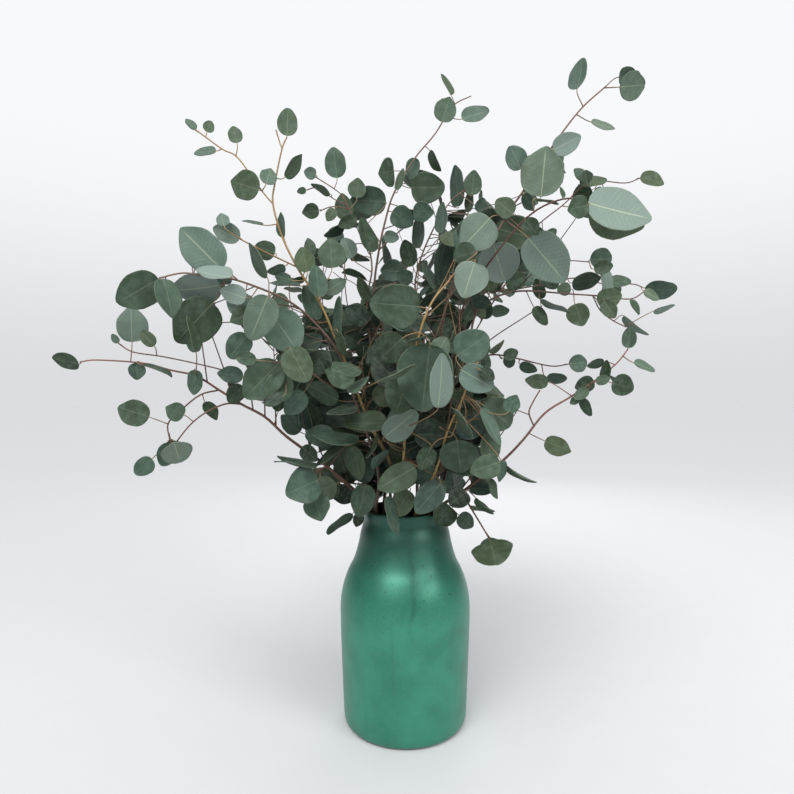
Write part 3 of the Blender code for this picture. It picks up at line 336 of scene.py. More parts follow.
         (597, 301, 622, 295, 20, -2), (604, 301, 615, 318, 15, 1), (645, 288, 677, 290, 19, -2),
         (644, 291, 659, 300, 9, 1), (654, 311, 675, 305, 6, 1), (630, 300, 639, 315, 6, -1),
         (624, 316, 649, 335, 7, 1), (534, 307, 547, 325, 12, -2), (575, 304, 583, 326, 22, 0),
         (541, 300, 570, 312, 6, 0), (571, 289, 557, 290, 13, 0), (559, 285, 541, 281, 12, -2),
         (484, 286, 500, 282, 13, -2), (507, 284, 527, 276, 18, -2), (489, 305, 466, 297, 14, -1),
         (476, 302, 466, 321, 15, -1), (478, 305, 485, 318, 8, -1), (590, 260, 612, 258, 21, -2),
         (594, 269, 613, 265, 14, -2), (504, 358, 518, 351, 12, 0), (511, 356, 508, 368, 12, 0),
         (520, 364, 537, 371, 11, 0), (547, 377, 567, 379, 11, -1), (569, 364, 587, 362, 18, 0),
         (489, 352, 504, 340, 6, 0)],
    ),
    "stem_right_low": Stem(
        (340, 38),
        [(462, 492, -45), (500, 463, -58), (523, 440, -58), (545, 413, -54), (572, 396, -50),
         (600, 377, -44), (617, 363, -40), (628, 349, -38)],
        [[(462, 492), (468, 503, -70), (474, 513, -80), (486, 533, -88), (490, 541, -88)],
         [(531, 427), (529, 413, -52), (533, 402, -50), (540, 390, -48)]],
        [(545, 441, 571, 452, 19, -2), (548, 382, 525, 380, 15, -2), (594, 382, 575, 388, 16, -2),
         (588, 389, 574, 399, 11, 0), (583, 398, 591, 416, 10, 0), (579, 398, 570, 404, 8, 0),
         (604, 362, 587, 366, 9, -2), (605, 382, 607, 360, 10, 0), (596, 382, 610, 378, 10, 0),
         (634, 363, 655, 371, 8, 0), (612, 383, 634, 389, 22, -2), (628, 348, 630, 327, 14, -2),
         (503, 460, 499, 482, 9, 0), (507, 466, 537, 482, 4, 0), (490, 479, 497, 499, 8, 1),
         (469, 489, 495, 489, 14, -1), (459, 515, 473, 527, 17, -1), (470, 506, 495, 511, 5, 0),
         (476, 498, 494, 514, 5, 0), (490, 541, 496, 563, 40, -1), (452, 508, 436, 525, 24, 0),
         (466, 492, 450, 505, 22, -2)],
    ),
    "stem_front_right": Stem(
        (285, 38),
        [(436, 470, -85), (448, 430, -115), (463, 398, -135), (468, 380, -140), (478, 362, -142)],
        [],
        [(457, 440, 461, 474, 39, 0), (500, 462, 470, 472, 24, 0), (491, 430, 488, 465, 20, -1),
         (481, 409, 500, 445, 12, 1), (483, 405, 512, 426, 38, 0), (508, 412, 517, 395, 16, -1),
         (461, 370, 493, 388, 28, 1), (480, 370, 494, 380, 14, -2), (457, 356, 488, 335, 34, 0),
         (474, 392, 450, 394, 12, -1)],
    ),
    "stem_back_right": Stem(
        (45, 38),
        [(428, 440, 60), (455, 370, 120), (482, 320, 175), (505, 285, 220)],
        [[(455, 370), (490, 340, 112), (520, 320, 118), (542, 306, 128)],
         [(480, 325), (490, 290, 165), (492, 258, 172), (500, 238, 182)]],
        [],
    ),
    "stem_back": Stem(
        (90, 38),
        [(408, 440, 70), (412, 360, 140), (416, 300, 200), (420, 258, 245)],
        [[(412, 360), (425, 330, 155), (440, 300, 172), (450, 268, 195)],
         [(416, 310), (400, 280, 190), (385, 252, 202)]],
        [],
    ),
    "stem_back_left": Stem(
        (130, 38),
        [(385, 440, 60), (352, 365, 120), (325, 315, 175), (308, 285, 215)],
        [[(352, 365), (350, 325, 135), (345, 285, 150), (345, 248, 165)],
         [(328, 322), (300, 312, 162), (272, 300, 168)]],
        [],
    ),
    "stem_left_back": Stem(
        (158, 38),
        [(375, 450, 40), (335, 400, 75), (298, 362, 105), (268, 335, 130)],
        [[(335, 400), (300, 395, 68), (272, 385, 72)],
         [(305, 370), (300, 335, 110), (290, 300, 125), (290, 275, 132)]],
        [],
    ),
}

# Every leaf that was read, with the name of its stem first.
READ_LEAVES = [(name, *row) for name in STEMS for row in STEMS[name].leaves]

# Leaves that no pixel was read for stay where the photograph shows dense foliage.
DENSE = [(300, 255), (330, 218), (365, 208), (400, 196), (430, 190), (470, 190), (500, 215), (540, 240),
         (590, 272), (610, 300), (540, 300), (497, 320), (492, 350), (512, 400), (500, 455), (484, 495),
         (455, 515), (352, 512), (330, 492), (300, 475), (318, 448), (290, 405), (250, 385), (236, 335),
         (255, 295)]

# Leaves of the scene alone stay here, where the photograph shows no gap.
CORE = [(358, 302), (372, 288), (385, 262), (400, 262), (408, 308), (448, 312), (440, 285), (428, 262),
        (445, 205), (480, 200), (520, 215), (545, 235), (560, 262), (555, 288), (500, 292), (470, 300),
        (462, 345), (484, 348), (494, 362), (487, 376), (500, 388), (510, 400), (499, 430), (500, 455),
        (484, 495), (455, 512), (352, 512), (330, 492), (300, 475), (318, 448), (300, 425), (292, 400),
        (300, 392), (318, 385), (298, 350), (304, 318), (328, 308), (342, 345)]

# Leaves of the photograph that the solids leave out or hold too far back: stem, then as in STEMS.
NEAR_LEAVES = [
    ("stem_upper_left", 338, 332, 346, 358, 9, -1), ("stem_upper_left", 344, 383, 321, 359, 12, -1),
    ("stem_upper_left", 347, 380, 330, 351, 10, -2), ("stem_top_left", 367, 322, 346, 306, 19, -2),
    ("stem_front_centre", 387, 423, 344, 424, 20, 0), ("stem_front_centre", 384, 437, 417, 411, 26, 2),
    ("stem_front_centre", 401, 442, 436, 425, 12, 0), ("stem_front_centre", 415, 467, 378, 489, 27, 2),
    ("stem_upper_left", 359, 441, 312, 434, 13, 1), ("stem_top_centre", 359, 344, 381, 373, 19, -1),
    ("stem_front_centre", 431, 448, 420, 470, 18, 0), ("stem_left_front", 246, 298, 220, 290, 20, 2),
]

# Bare twigs and long petioles that the photograph shows: (stem, thickness, pixels from the stem out).
FINE_TWIGS = [
    ("stem_top_right", 1.3 * MM, [(424, 256), (432, 246), (437, 240), (443, 237), (448, 239), (450, 243),
                                  (447, 247), (432, 251), (420, 257), (410, 265), (400, 274)]),
    ("stem_top_left", 1.3 * MM, [(369, 330), (368, 312), (365, 300), (358, 287), (350, 281), (341, 278),
                                 (333, 272)]),
    ("stem_front_right", 1.3 * MM, [(462, 398), (458, 418), (452, 435), (446, 437), (438, 440),
                                    (432, 446)]),
    ("stem_front_right", 1.2 * MM, [(463, 400), (466, 411), (464, 425)]),
    ("stem_front_right", 1.2 * MM, [(463, 399), (470, 400), (475, 405), (479, 412), (468, 423)]),
]


def seen_at(px, py, depth):
    """The point that the photograph shows at this pixel, depth mm behind the bottle's axis."""
    scale = (EYE_BACK + depth * MM) / LENS_PX
    return Vector((EYE_X + (px - MIDDLE_X) * scale, depth * MM, EYE_HIGH + (MIDDLE_Y - py) * scale))


def pixel_of(point):
    scale = (EYE_BACK + point.y) / LENS_PX
    return MIDDLE_X + (point.x - EYE_X) / scale, MIDDLE_Y - (point.z - EYE_HIGH) / scale


def inside(px, py, outline):
    """Whether a pixel lies in a closed outline."""
    odd = False
    for (x0, y0), (x1, y1) in zip(outline, outline[1:] + outline[:1]):
        if (y0 > py) != (y1 > py) and px < x0 + (py - y0) * (x1 - x0) / (y1 - y0):
            odd = not odd
    return odd


def smooth(points, steps):
    """A smooth curve through the points, with this many steps between two of them."""
    ends = [2 * points[0] - points[1], *points, 2 * points[-1] - points[-2]]
    found = []
    for a, b, c, d in zip(ends, ends[1:], ends[2:], ends[3:]):
        for i in range(steps):
            t = i / steps
            square = (2 * a - 5 * b + 4 * c - d) * t * t
            cube = (3 * b - a - 3 * c + d) * t ** 3
            found.append((2 * b + (c - a) * t + square + cube) / 2)
    return found + [points[-1]]


def tube(points, radii, sides, level_foot=False):
    """(vertices, faces) of a closed tube along the points. A level foot stands flat."""
    verts = []
    side = (points[1] - points[0]).orthogonal().normalized()
    for i, point in enumerate(points):
        ahead = points[min(i + 1, len(points) - 1)] - points[max(i - 1, 0)]
        ahead.normalize()
        side = (side - ahead * side.dot(ahead)).normalized()
        other = ahead.cross(side)
        for k in range(sides):
            angle = math.tau * k / sides
            verts.append(point + (side * math.cos(angle) + other * math.sin(angle)) * radii[i])
    if level_foot:
        for vert in verts[:sides]:
            vert.z = points[0].z
    return verts, tube_faces(len(points), sides)


def tube_faces(rings, sides):
    """The faces of a closed tube with this many rings of vertices."""
    faces = []
    for i in range(rings - 1):
        for k in range(sides):
            a, b = i * sides + k, i * sides + (k + 1) % sides
            faces.append((a, b, b + sides, a + sides))
    faces.append(tuple(reversed(range(sides))))
    faces.append(tuple(range((rings - 1) * sides, rings * sides)))
    return faces


def bottle_profile():
    """Half of the bottle's section, (radius, height) from the middle of its floor out to the foot."""
    lip_mid = (MOUTH_OUT - LIP_ROUND, BOTTLE_HIGH - LIP_ROUND)
    foot_mid = (FOOT_OUT - FOOT_ROUND, FOOT_ROUND)
    lip = [(lip_mid[0] + LIP_ROUND * math.sin(a), lip_mid[1] + LIP_ROUND * math.cos(a))
           for a in (0, math.radians(50), math.radians(95))]
    foot = [(foot_mid[0] + FOOT_ROUND * math.cos(a), foot_mid[1] - FOOT_ROUND * math.sin(a))
            for a in (0, math.radians(30), math.radians(60), math.radians(90))]
    outer = [*lip, NECK, COLLAR, *SLOPE, *SHOULDER, *SKIRT, *foot, (0, 0)]
    walls = [COLLAR, SLOPE[1], SLOPE[3], SHOULDER[2], SKIRT[2]]
    inner = [(radius - WALL, height) for radius, height in reversed(walls)]
    rim = [(MOUTH_OUT - WALL, NECK[1]), (MOUTH_OUT - WALL, BOTTLE_HIGH - LIP_ROUND),
           (MOUTH_OUT - 2 * LIP_ROUND, BOTTLE_HIGH)]
    floor = [(0, FLOOR), (FOOT_OUT - FOOT_ROUND - WALL, FLOOR)]
    return [*floor, *inner, *rim, *outer]


def lathe(profile, steps):
    """(vertices, faces) of the profile turned about the axis, for the clearance tests."""
    verts = []
    for i in range(steps):
        turn = Matrix.Rotation(math.tau * i / steps, 3, "Z")
        verts += [turn @ Vector((radius, 0, height)) for radius, height in profile]
    count = len(profile)
    faces = []
    for i in range(steps):
        for k in range(count - 1):
            a, b = i * count + k, (i + 1) % steps * count + k
            faces.append((a, b, b + 1, a + 1))
    return verts, faces


def half_width(share):
    """Half a blade's width, as a share of its width, this far along it."""
    angle = math.acos(1 - 2 * share)
    return 0.5 * math.sin(angle) ** 0.85 * (1 + 0.16 * math.cos(angle))


def blade_point(leaf, share, across, grow=1.0):
    """A point of the blade: its share of the length, and from -1 to 1 across. Its rim is raised."""
    half = half_width(share) * leaf.wide * grow
    middle = leaf.base + leaf.along * (leaf.long * share)
    return middle + leaf.across * (half * across) + leaf.up * (CUP * half * abs(across))


def spots_of(leaf, spots):
    return [blade_point(leaf, share, across) for share, across in spots]


def blade_shell(leaf):
    """A slab a little larger than the blade, for the clearance tests."""
    right = [blade_point(leaf, share, 1, SHELL_GROWN) for share in SHELL_SHARES]
    left = [blade_point(leaf, share, -1, SHELL_GROWN) for share in SHELL_SHARES]
    tip = leaf.base + leaf.along * leaf.long
    rim = [leaf.base, *right, tip, *reversed(left)]
    half = leaf.up * (BLADE_THICK / 2 + CLEAR)
    verts = [point + half for point in rim] + [point - half for point in rim]
    top = [(0, 7, 1), (1, 7, 6, 2), (2, 6, 5, 3), (3, 5, 4)]
    under = [tuple(i + 8 for i in reversed(face)) for face in top]
    sides = [(i, i + 8, (i + 1) % 8 + 8, (i + 1) % 8) for i in range(8)]
    return verts, top + under + sides


def petiole_path(leaf):
    """A petiole's points from its root to the blade, with a knee where the blade turns off sharply."""
    bend = leaf.along.angle(leaf.base - leaf.root)
    knee = [leaf.base - leaf.along * KNEE_LONG] if bend > KNEE_BEND else []
    return [leaf.root, *knee, leaf.base]


def petiole_shell(leaf):
    path = petiole_path(leaf)
    return tube(path, [PETIOLE_WIDE / 2 + CLEAR] * len(path), PETIOLE_SHELL_SIDES)


def turned_leaf(row, root, depth, turn):
    """The leaf of a row, depth mm behind the axis, tipped or rolled out of the picture to its width."""
    name, base_x, base_y, tip_x, tip_y, wide_px, tone = row
    base, tip = seen_at(base_x, base_y, depth), seen_at(tip_x, tip_y, depth)
    wide = wide_px * (EYE_BACK + depth * MM) / LENS_PX
    look = (base - EYE).normalized()
    ratio, roll = wide / (tip - base).length, 0.0
    if ratio > TIPPED_ABOVE:
        away = math.sqrt((wide / WIDE_RATIO) ** 2 - (tip - base).length ** 2)
        tip = tip + look * (turn * away)
    elif ratio < ROLLED_BELOW:
        wide = ROLLED_RATIO * (tip - base).length
        roll = turn * math.acos(ratio / ROLLED_RATIO)
    along = (tip - base).normalized()
    up = (-look - along * along.dot(-look)).normalized()
    up = Matrix.Rotation(roll, 3, along) @ up
    return Leaf(name, root, base, along, along.cross(up), up, (tip - base).length, wide, tone)


def side_of(ahead, azimuth):
    """A direction square to ahead, at this angle about it."""
    return Matrix.Rotation(azimuth, 3, ahead) @ ahead.orthogonal().normalized()


def spread(line, count, first, reach):
    """(index, azimuth) of this many places on a line, from a first share of it on, in equal steps."""
    for i in range(count):
        yield max(1, round((first + reach * i / count) * (len(line) - 1))), i * NEXT_LEAF_TURN


def joined_tree(shells):
    """The search tree of several surfaces as one."""
    verts, faces = [], []
    for shell_verts, shell_faces in shells:
        faces += [tuple(i + len(verts) for i in face) for face in shell_faces]
        verts += shell_verts
    return BVHTree.FromPolygons(verts, faces)


class Placed:
    """A solid that is in its place, for later ones to keep clear of."""

    def __init__(self, kind, stem, shell):
        verts, faces = shell
        self.kind, self.stem = kind, stem
        self.tree = BVHTree.FromPolygons(verts, faces)
        self.low = [min(vert[i] for vert in verts) for i in range(3)]
        self.high = [max(vert[i] for vert in verts) for i in range(3)]

    def meets(self, other):
        apart = any(self.low[i] > other.high[i] or other.low[i] > self.high[i] for i in range(3))
        return not apart and bool(self.tree.overlap(other.tree))


class Shoot:
    """A stem or a twig: straight runs from point to point, and its thickness along them."""

    def __init__(self, points, thick, thin, hidden=0):
        self.points, self.hidden = points, hidden
        lengths = [0.0]
        for a, b in zip(points, points[1:]):
            lengths.append(lengths[-1] + (b - a).length)
        self.length = lengths[-1]
        self.radii = [(thick + (thin - thick) * length / self.length) / 2 for length in lengths]

    def line(self, steps=LINE_STEPS):
        """(point, radius) all along the part above the bottle's mouth, up to just short of the tip."""
        found = []
        for i in range(self.hidden, len(self.points) - 1):
            for t in range(steps):
                point = self.points[i].lerp(self.points[i + 1], t / steps)
                found.append((point, self.radii[i] + (self.radii[i + 1] - self.radii[i]) * t / steps))
        back = (self.points[-2] - self.points[-1]).normalized()
        return found + [(self.points[-1] + back * SINK, self.radii[-1])]

    def shell(self):
        """The solid, a little thicker than it is."""
        swollen = [radius + CLEAR for radius in self.radii]
        return tube(self.points, swollen, SHELL_SIDES, level_foot=self.hidden > 0)


class Plant:
    """All branches in their places, each solid clear of those of the other stems."""

    def __init__(self):
        bottle = lathe(bottle_profile(), ROUGH_BOTTLE_STEPS)
        self.placed = [Placed("bottle", None, bottle)]
        self.shoots = {name: [] for name in STEMS}
        self.leaves = []
        self.draw = random.Random(PLANT_SEED)
        for name in STEMS:
            self.grow_stem(name)
        for name in STEMS:
            self.grow_twigs(name)
        for row in READ_LEAVES:
            self.read_leaf(row)
        self.hide_behind()

    def clear(self, trial, passed):
        """Whether a solid keeps clear of all others but the kinds that passed names on its stem."""
        for other in self.placed:
            own = other.stem == trial.stem and other.kind in passed
            if not own and trial.meets(other):
                return False
        return True

    def settle_shoot(self, name, kind, shoot):
        """Puts a shoot in its place, if it is clear there."""
        trial = Placed(kind, name, shoot.shell())
        if not self.clear(trial, WOOD):
            return False
        self.placed.append(trial)
        self.shoots[name].append(shoot)
        return True

    def settle_leaf(self, leaf, passed=WOOD):
        """Puts a leaf in its place, if it is clear there. Its petiole may pass these kinds of solid."""
        blade = Placed("blade", leaf.stem, blade_shell(leaf))
        petiole = Placed("petiole", leaf.stem, petiole_shell(leaf))
        if not self.clear(blade, ()) or not self.clear(petiole, passed):
            return False
        self.placed += [blade, petiole]
        self.leaves.append(leaf)
        return True

    def grow_shoot(self, name, kind, make):
        """Adds the shoot that make(step) gives for the least step in depth that leaves it clear."""
        if not any(self.settle_shoot(name, kind, make(step)) for step in SHOOT_STEPS):
            raise ValueError(f"{name}: a {kind} has no clear way")

    def grow_stem(self, name):
        angle, out = STEMS[name].mouth
        mouth = Matrix.Rotation(math.radians(angle), 3, "Z") @ Vector((out * MM, 0, 0))
        foot = Matrix.Rotation(FOOT_TWIST, 3, "Z") @ mouth * FOOT_SPREAD
        foot.z = FLOOR + CLEAR
        mouth.z = BOTTLE_HIGH

        def make(step):
            path = [seen_at(px, py, depth + step * min(1, i / 2))
                    for i, (px, py, depth) in enumerate(STEMS[name].path)]
            points = [foot, foot.lerp(mouth, BELOW_MOUTH), mouth, *path]
            return Shoot(points, FOOT_THICK, TIP_THICK, HIDDEN_POINTS)

        self.grow_shoot(name, "stem", make)

    def grow_twigs(self, name):
        for start, *rest in STEMS[name].twigs:
            parent, at = self.nearest(name, *start)
            root, radius = parent.line()[at]
            thick = min(TWIG_TO_STEM * radius, TWIG_THICK)

            def make(step):
                path = [seen_at(px, py, depth + step * i / len(rest))
                        for i, (px, py, depth) in enumerate(rest, 1)]
                return Shoot([root, *path], thick, TIP_THICK)

            self.grow_shoot(name, "twig", make)

    def nearest(self, name, px, py):
        """(shoot, index on its line) of this stem's point nearest to a pixel."""
        best = None
        for shoot in self.shoots[name]:
            for i, (point, _) in enumerate(shoot.line()):
                far = math.dist(pixel_of(point), (px, py))
                if best is None or far < best[0]:
                    best = (far, shoot, i)
        return best[1], best[2]

    def leaf_root(self, row):
        """(point, distance in pixels) of the stem's point nearest to a leaf's base from behind."""
        name, base_x, base_y, tip_x, tip_y, *_ = row
        long = math.dist((base_x, base_y), (tip_x, tip_y))
        best = None
        for shoot in self.shoots[name]:
            for point, _ in shoot.line(FINE_LINE_STEPS):
                x, y = pixel_of(point)
                far = math.hypot(base_x - x, base_y - y)
                ahead = ((base_x - x) * (tip_x - base_x) + (base_y - y) * (tip_y - base_y)) / long
                cost = BACKWARD_COST * far - ahead
                if far > SHORT_PETIOLE_PX and (best is None or cost < best[0]):
                    best = (cost, point, far)
        return best[1], best[2]

    def read_leaf(self, row):
        """Places a leaf that was read from the photograph, moved in depth until it is clear."""
        root, far = self.leaf_root(row)
        drift = far * self.draw.uniform(-DRIFT, DRIFT)
        turn = 1 if self.draw.random() < 0.5 else -1
        for step in LEAF_STEPS:
            if self.settle_leaf(turned_leaf(row, root, root.y / MM + drift + step, turn)):
                return

    def hide_behind(self):
        """Fills the bunch by rule, behind the leaves that were read and at its back and sides."""
        self.front = joined_tree([blade_shell(leaf) for leaf in self.leaves])
        tips, spots = [], []
        for name in STEMS:
            bare = not STEMS[name].leaves
            for shoot in self.shoots[name]:
                line = shoot.line()
                count = max(2, round(shoot.length / (BARE_STEP if bare else READ_STEP)))
                spots += [(name, line, *place) for place in spread(line, count, *RULE_SPREAD)]
                if bare:
                    tips.append((name, line, len(line) - 1, 0))
        self.draw.shuffle(spots)
        self.grow_leaves(tips + spots, RULE_LEAVES, self.unseen)

    def grow_leaves(self, spots, count, fits):
        """Grows up to this many leaves by rule, one at each spot in turn."""
        full = len(self.leaves) + count
        for spot in spots:
            if len(self.leaves) < full:
                self.rule_leaf(*spot, fits)

    def rule_leaf(self, name, line, at, azimuth, fits):
        """Grows a leaf at a point of a shoot, on the first side of it where it is clear."""
        (point, _), (before, _) = line[at], line[at - 1]
        ahead = (point - before).normalized()
        root = point.lerp(before, self.draw.uniform(*ROOT_BACK))
        long = FULL_LONG * self.draw.uniform(*LONG_SHARE) * (1 - TIP_SHORTER * at / len(line))
        for _ in range(RULE_TRIES):
            azimuth += self.draw.uniform(*NEXT_TRY_TURN)
            leaf = self.drawn_leaf(name, root, ahead, side_of(ahead, azimuth), long)
            if fits(leaf) and self.settle_leaf(leaf):
                return

    def drawn_leaf(self, name, root, ahead, side, long):
        """A leaf that grows out to this side of its shoot, with its lean, droop and roll drawn."""
        lean = self.draw.uniform(*LEAN)
        out = ahead * math.cos(lean) + side * math.sin(lean)
        base = root + out * long * self.draw.uniform(*STALK_SHARE)
        along = (out - Vector((0, 0, self.draw.uniform(*DROOP)))).normalized()
        face = side.cross(along).cross(along) + ahead * FACES_AHEAD
        up = (face - along * along.dot(face)).normalized()
        up = Matrix.Rotation(self.draw.uniform(*ROLL), 3, along) @ up
        wide = long * self.draw.uniform(*WIDE_SHARE)
        tone = self.draw.choice(RULE_TONES)
        return Leaf(name, root, base, along, along.cross(up), up, long, wide, tone)

    def covers(self, point):
        """Whether a point lies before a leaf that was read, as the camera sees it."""
        return self.front.ray_cast(point, (point - EYE).normalized())[0] is not None

    def covered(self, point):
        """Whether a point lies behind a leaf that was read, as the camera sees it."""
        return self.front.ray_cast(point, (EYE - point).normalized())[0] is not None

    def unseen(self, leaf):
        """Whether a leaf keeps within the dense part of the picture and behind the leaves read."""
        points = spots_of(leaf, EDGE_SPOTS)
        return all(inside(*pixel_of(point), DENSE) and not self.covers(point) for point in points)


class FullPlant(Plant):
    """The branches of the solids, then finer twigs and leaves in the gaps that are left."""

    def __init__(self):
        super().__init__()
        for name, thick, pixels in FINE_TWIGS:
            self.fine_twig(name, thick, pixels)
        self.bring_forward()
        self.shown_leaves = len(self.leaves)
        self.shown_shoots = {name: len(self.shoots[name]) for name in STEMS}
        for name in STEMS:
            self.grow_side_twigs(name)
        self.add_leaves()

    def fine_twig(self, name, thick, pixels):
        """A twig that was read from the photograph, at the depth of its stem."""
        parent, at = self.nearest(name, *pixels[0])
        root = parent.line()[at][0]

        def make(step):
            path = [seen_at(px, py, root.y / MM + step * i / len(pixels))
                    for i, (px, py) in enumerate(pixels, 1)]
            return Shoot([root, *path], thick, thick * FINE_TWIG_TAPER)

        self.grow_shoot(name, "twig", make)

    def shown(self, leaf, own, kinds):
        """The share of a leaf's middle that the camera sees past the other solids of these kinds."""
        others = [placed.tree for placed in self.placed if placed.kind in kinds and placed is not own]
        seen = 0
        for point in spots_of(leaf, MIDDLE_SPOTS):
            ahead = (EYE - point).normalized()
            seen += not any(tree.ray_cast(point, ahead)[0] for tree in others)
        return seen / len(MIDDLE_SPOTS)

    def bring_forward(self):
        """Sets a leaf nearer the camera for each leaf of the photograph that doesn't show yet."""
        blades = [placed for placed in self.placed if placed.kind == "blade"]
        shown = {}
        for leaf, blade in zip(self.leaves, blades):
            x, y = pixel_of(leaf.base)
            shown[leaf.stem, round(x), round(y)] = self.shown(leaf, blade, ("blade",))
        for row in NEAR_LEAVES + READ_LEAVES:
            if shown.get(row[:3], 0) < SHOWS_ENOUGH:
                self.read_forward(row)

    def read_forward(self, row):
        """Places a leaf that was read from the photograph before what hides it, if it has room."""
        root, _ = self.leaf_root(row)
        for step in NEARER_STEPS:
            depth = root.y / MM - step
            if not in_box(seen_at(*row[1:3], depth)) or not in_box(seen_at(*row[3:5], depth)):
                return
            leaf = turned_leaf(row, root, depth, 1)
            # Painted shade: a leaf set nearer the camera and the lamps is painted darker.
            leaf = leaf._replace(tone=leaf.tone - PAINTED_NEARER_SHADE)
            if self.shown(leaf, None, GROWTH) > SHOWS_WELL and self.settle_leaf(leaf, GROWTH):
                return

    def tucked_in(self, point):
        """Whether a point keeps in the solids' box and out of what the photograph shows."""
        if not in_box(point) or self.covers(point):
            return False
        return inside(*pixel_of(point), CORE) or self.covered(point)

    def leaf_tucked_in(self, leaf):
        return all(map(self.tucked_in, spots_of(leaf, ALL_SPOTS)))

    def grow_side_twigs(self, name):
        stem = self.shoots[name][0]
        line, count = stem.line(), round(stem.length / SIDE_TWIG_STEP)
        for at, azimuth in spread(line, count, *SIDE_TWIG_SPREAD):
            self.side_twig(name, line, at, azimuth)

    def side_twig(self, name, line, at, azimuth):
        """A short twig on the first side of its stem where it is clear and tucked in."""
        (root, radius), (before, _) = line[at], line[at - 1]
        ahead = (root - before).normalized()
        thick = min(radius * SIDE_TWIG_TO_STEM, SIDE_TWIG_THICK)
        for _ in range(SIDE_TWIG_TRIES):
            azimuth += self.draw.uniform(*NEXT_TRY_TURN)
            side = side_of(ahead, azimuth)
            out = (ahead + side * self.draw.uniform(*SIDE_TWIG_LEAN)).normalized()
            long = SIDE_TWIG_LONG * self.draw.uniform(*SIDE_TWIG_SHARE)
            rise = Vector((0, 0, long * self.draw.uniform(*SIDE_TWIG_RISE)))
            points = [root + out * (long * share) + rise * share ** 2 for share in SIDE_TWIG_POINTS]
            shoot = Shoot(points, thick, SIDE_TWIG_THIN)
            if all(map(self.tucked_in, points[1:])) and self.settle_shoot(name, "twig", shoot):
                return

    def add_leaves(self):
        """Fills the bunch with leaves all along its shoots, where they are tucked in."""
        spots = []
        for name in STEMS:
            for shoot in self.shoots[name]:
                line, count = shoot.line(FINE_LINE_STEPS), round(shoot.length / MORE_LEAVES_STEP)
                for at, azimuth in spread(line, count, *MORE_LEAVES_SPREAD):
                    if (line[at][0] - line[at - 1][0]).length > LEAST_RUN:
                        spots.append((name, line, at, azimuth))
        self.draw.shuffle(spots)
        self.grow_leaves(spots, MORE_LEAVES, self.leaf_tucked_in)


def in_box(point):
    """Whether a point keeps well inside the box of the solids."""
    return all(CAD_LOW[i] + BOX_SPARE < point[i] < CAD_HIGH[i] - BOX_SPARE for i in range(3))


def height_share(point):
    """0 at the bottle's mouth and below, 1 from twice its height up: leaves and bark are painted darker
    lower down, as painted shade.
    """
    return min(1, max(0, (point.z - MOUTH_HIGH) / MOUTH_HIGH))


def inner_share(point):
    """1 in the middle of the bunch, 0 at its outside, which the light reaches."""
    reach = math.hypot(point.x, point.y)
    return min(1, max(0, (OUTSIDE - reach) / (OUTSIDE - INSIDE)))


def painted_bark_brightness(point, fills):
    """How bright the bark is painted: painted shade, darker near the mouth, and darker in the middle of the
    bunch on what only fills the foliage.
    """
    bright = PAINTED_FOOT_BRIGHTNESS + (1 - PAINTED_FOOT_BRIGHTNESS) * height_share(point)
    return bright * (1 - PAINTED_BARK_SHADE * inner_share(point)) if fills else bright


class Value:
    """A number or colour that varies over a surface. Arithmetic on it adds Math nodes."""

    def __init__(self, finish, socket):
        self.finish, self.socket = finish, socket

    def math(self, operation, *values):
        return self.finish.add("ShaderNodeMath", {"operation": operation}, dict(enumerate(values)))

    def __add__(self, other):
        return self.math("ADD", self, other)

    def __sub__(self, other):
        return self.math("SUBTRACT", self, other)

    def __rsub__(self, other):
        return self.math("SUBTRACT", other, self)

    def __mul__(self, other):
        return self.math("MULTIPLY", self, other)

    def __abs__(self):
        return self.math("ABSOLUTE", self)

    def fraction(self):
        return self.math("FRACT", self)

    def ramp(self, low, high):
        """0 below low and 1 above high, with a soft step between them. High may be the lower one."""
        inputs = {"Value": self, "From Min": low, "From Max": high}
        return self.finish.add("ShaderNodeMapRange", {"interpolation_type": "SMOOTHSTEP"}, inputs)

    __radd__ = __add__
    __rmul__ = __mul__


class Finish:
    """A material, or the sky, on its one shader, and what adds nodes to it."""

    def __init__(self, block, shader="Principled BSDF"):
        block.use_nodes = True
        self.block, self.tree = block, block.node_tree
        self.shader = self.tree.nodes[shader]

    def add(self, kind, settings=None, inputs=None, output=0):
        """A node of this kind: its settings, then its sockets' values or links. Gives one output."""
        node = self.tree.nodes.new(kind)
        for name, value in (settings or {}).items():
            setattr(node, name, value)
        self.fill(node, inputs or {})
        return Value(self, node.outputs[output])

    def fill(self, node, inputs):
        for key, value in inputs.items():
            if isinstance(value, Value):
                self.tree.links.new(value.socket, node.inputs[key])
            else:
                node.inputs[key].default_value = value

    def worn(self, name, output="Fac"):
        """What a mesh wears under this name."""
        return self.add("ShaderNodeAttribute", {"attribute_name": name}, output=output)

    def place(self, x, y, z):
        return self.add("ShaderNodeCombineXYZ", inputs={0: x, 1: y, 2: z})

    def stretched(self, place, x, y, z):
        return self.add("ShaderNodeVectorMath", {"operation": "MULTIPLY"}, {0: place, 1: (x, y, z)})

    def noise(self, place, scale, detail=2.0):
        return self.add("ShaderNodeTexNoise", inputs={"Vector": place, "Scale": scale, "Detail": detail})

    def blend(self, share, first, second):
        """Colours blended by a share from 0 to 1."""
        colours = {6: rgba(first), 7: rgba(second)}
        return self.add("ShaderNodeMix", {"data_type": "RGBA"}, {0: share, **colours}, output=2)

    def bumped(self, height, strength, distance):
        inputs = {"Height": height, "Strength": strength, "Distance": distance}
        return self.add("ShaderNodeBump", inputs=inputs)

    def made(self, inputs):
        self.fill(self.shader, inputs)
        return self.block


def rgba(colour):
    return colour if isinstance(colour, Value) else (*colour, 1)


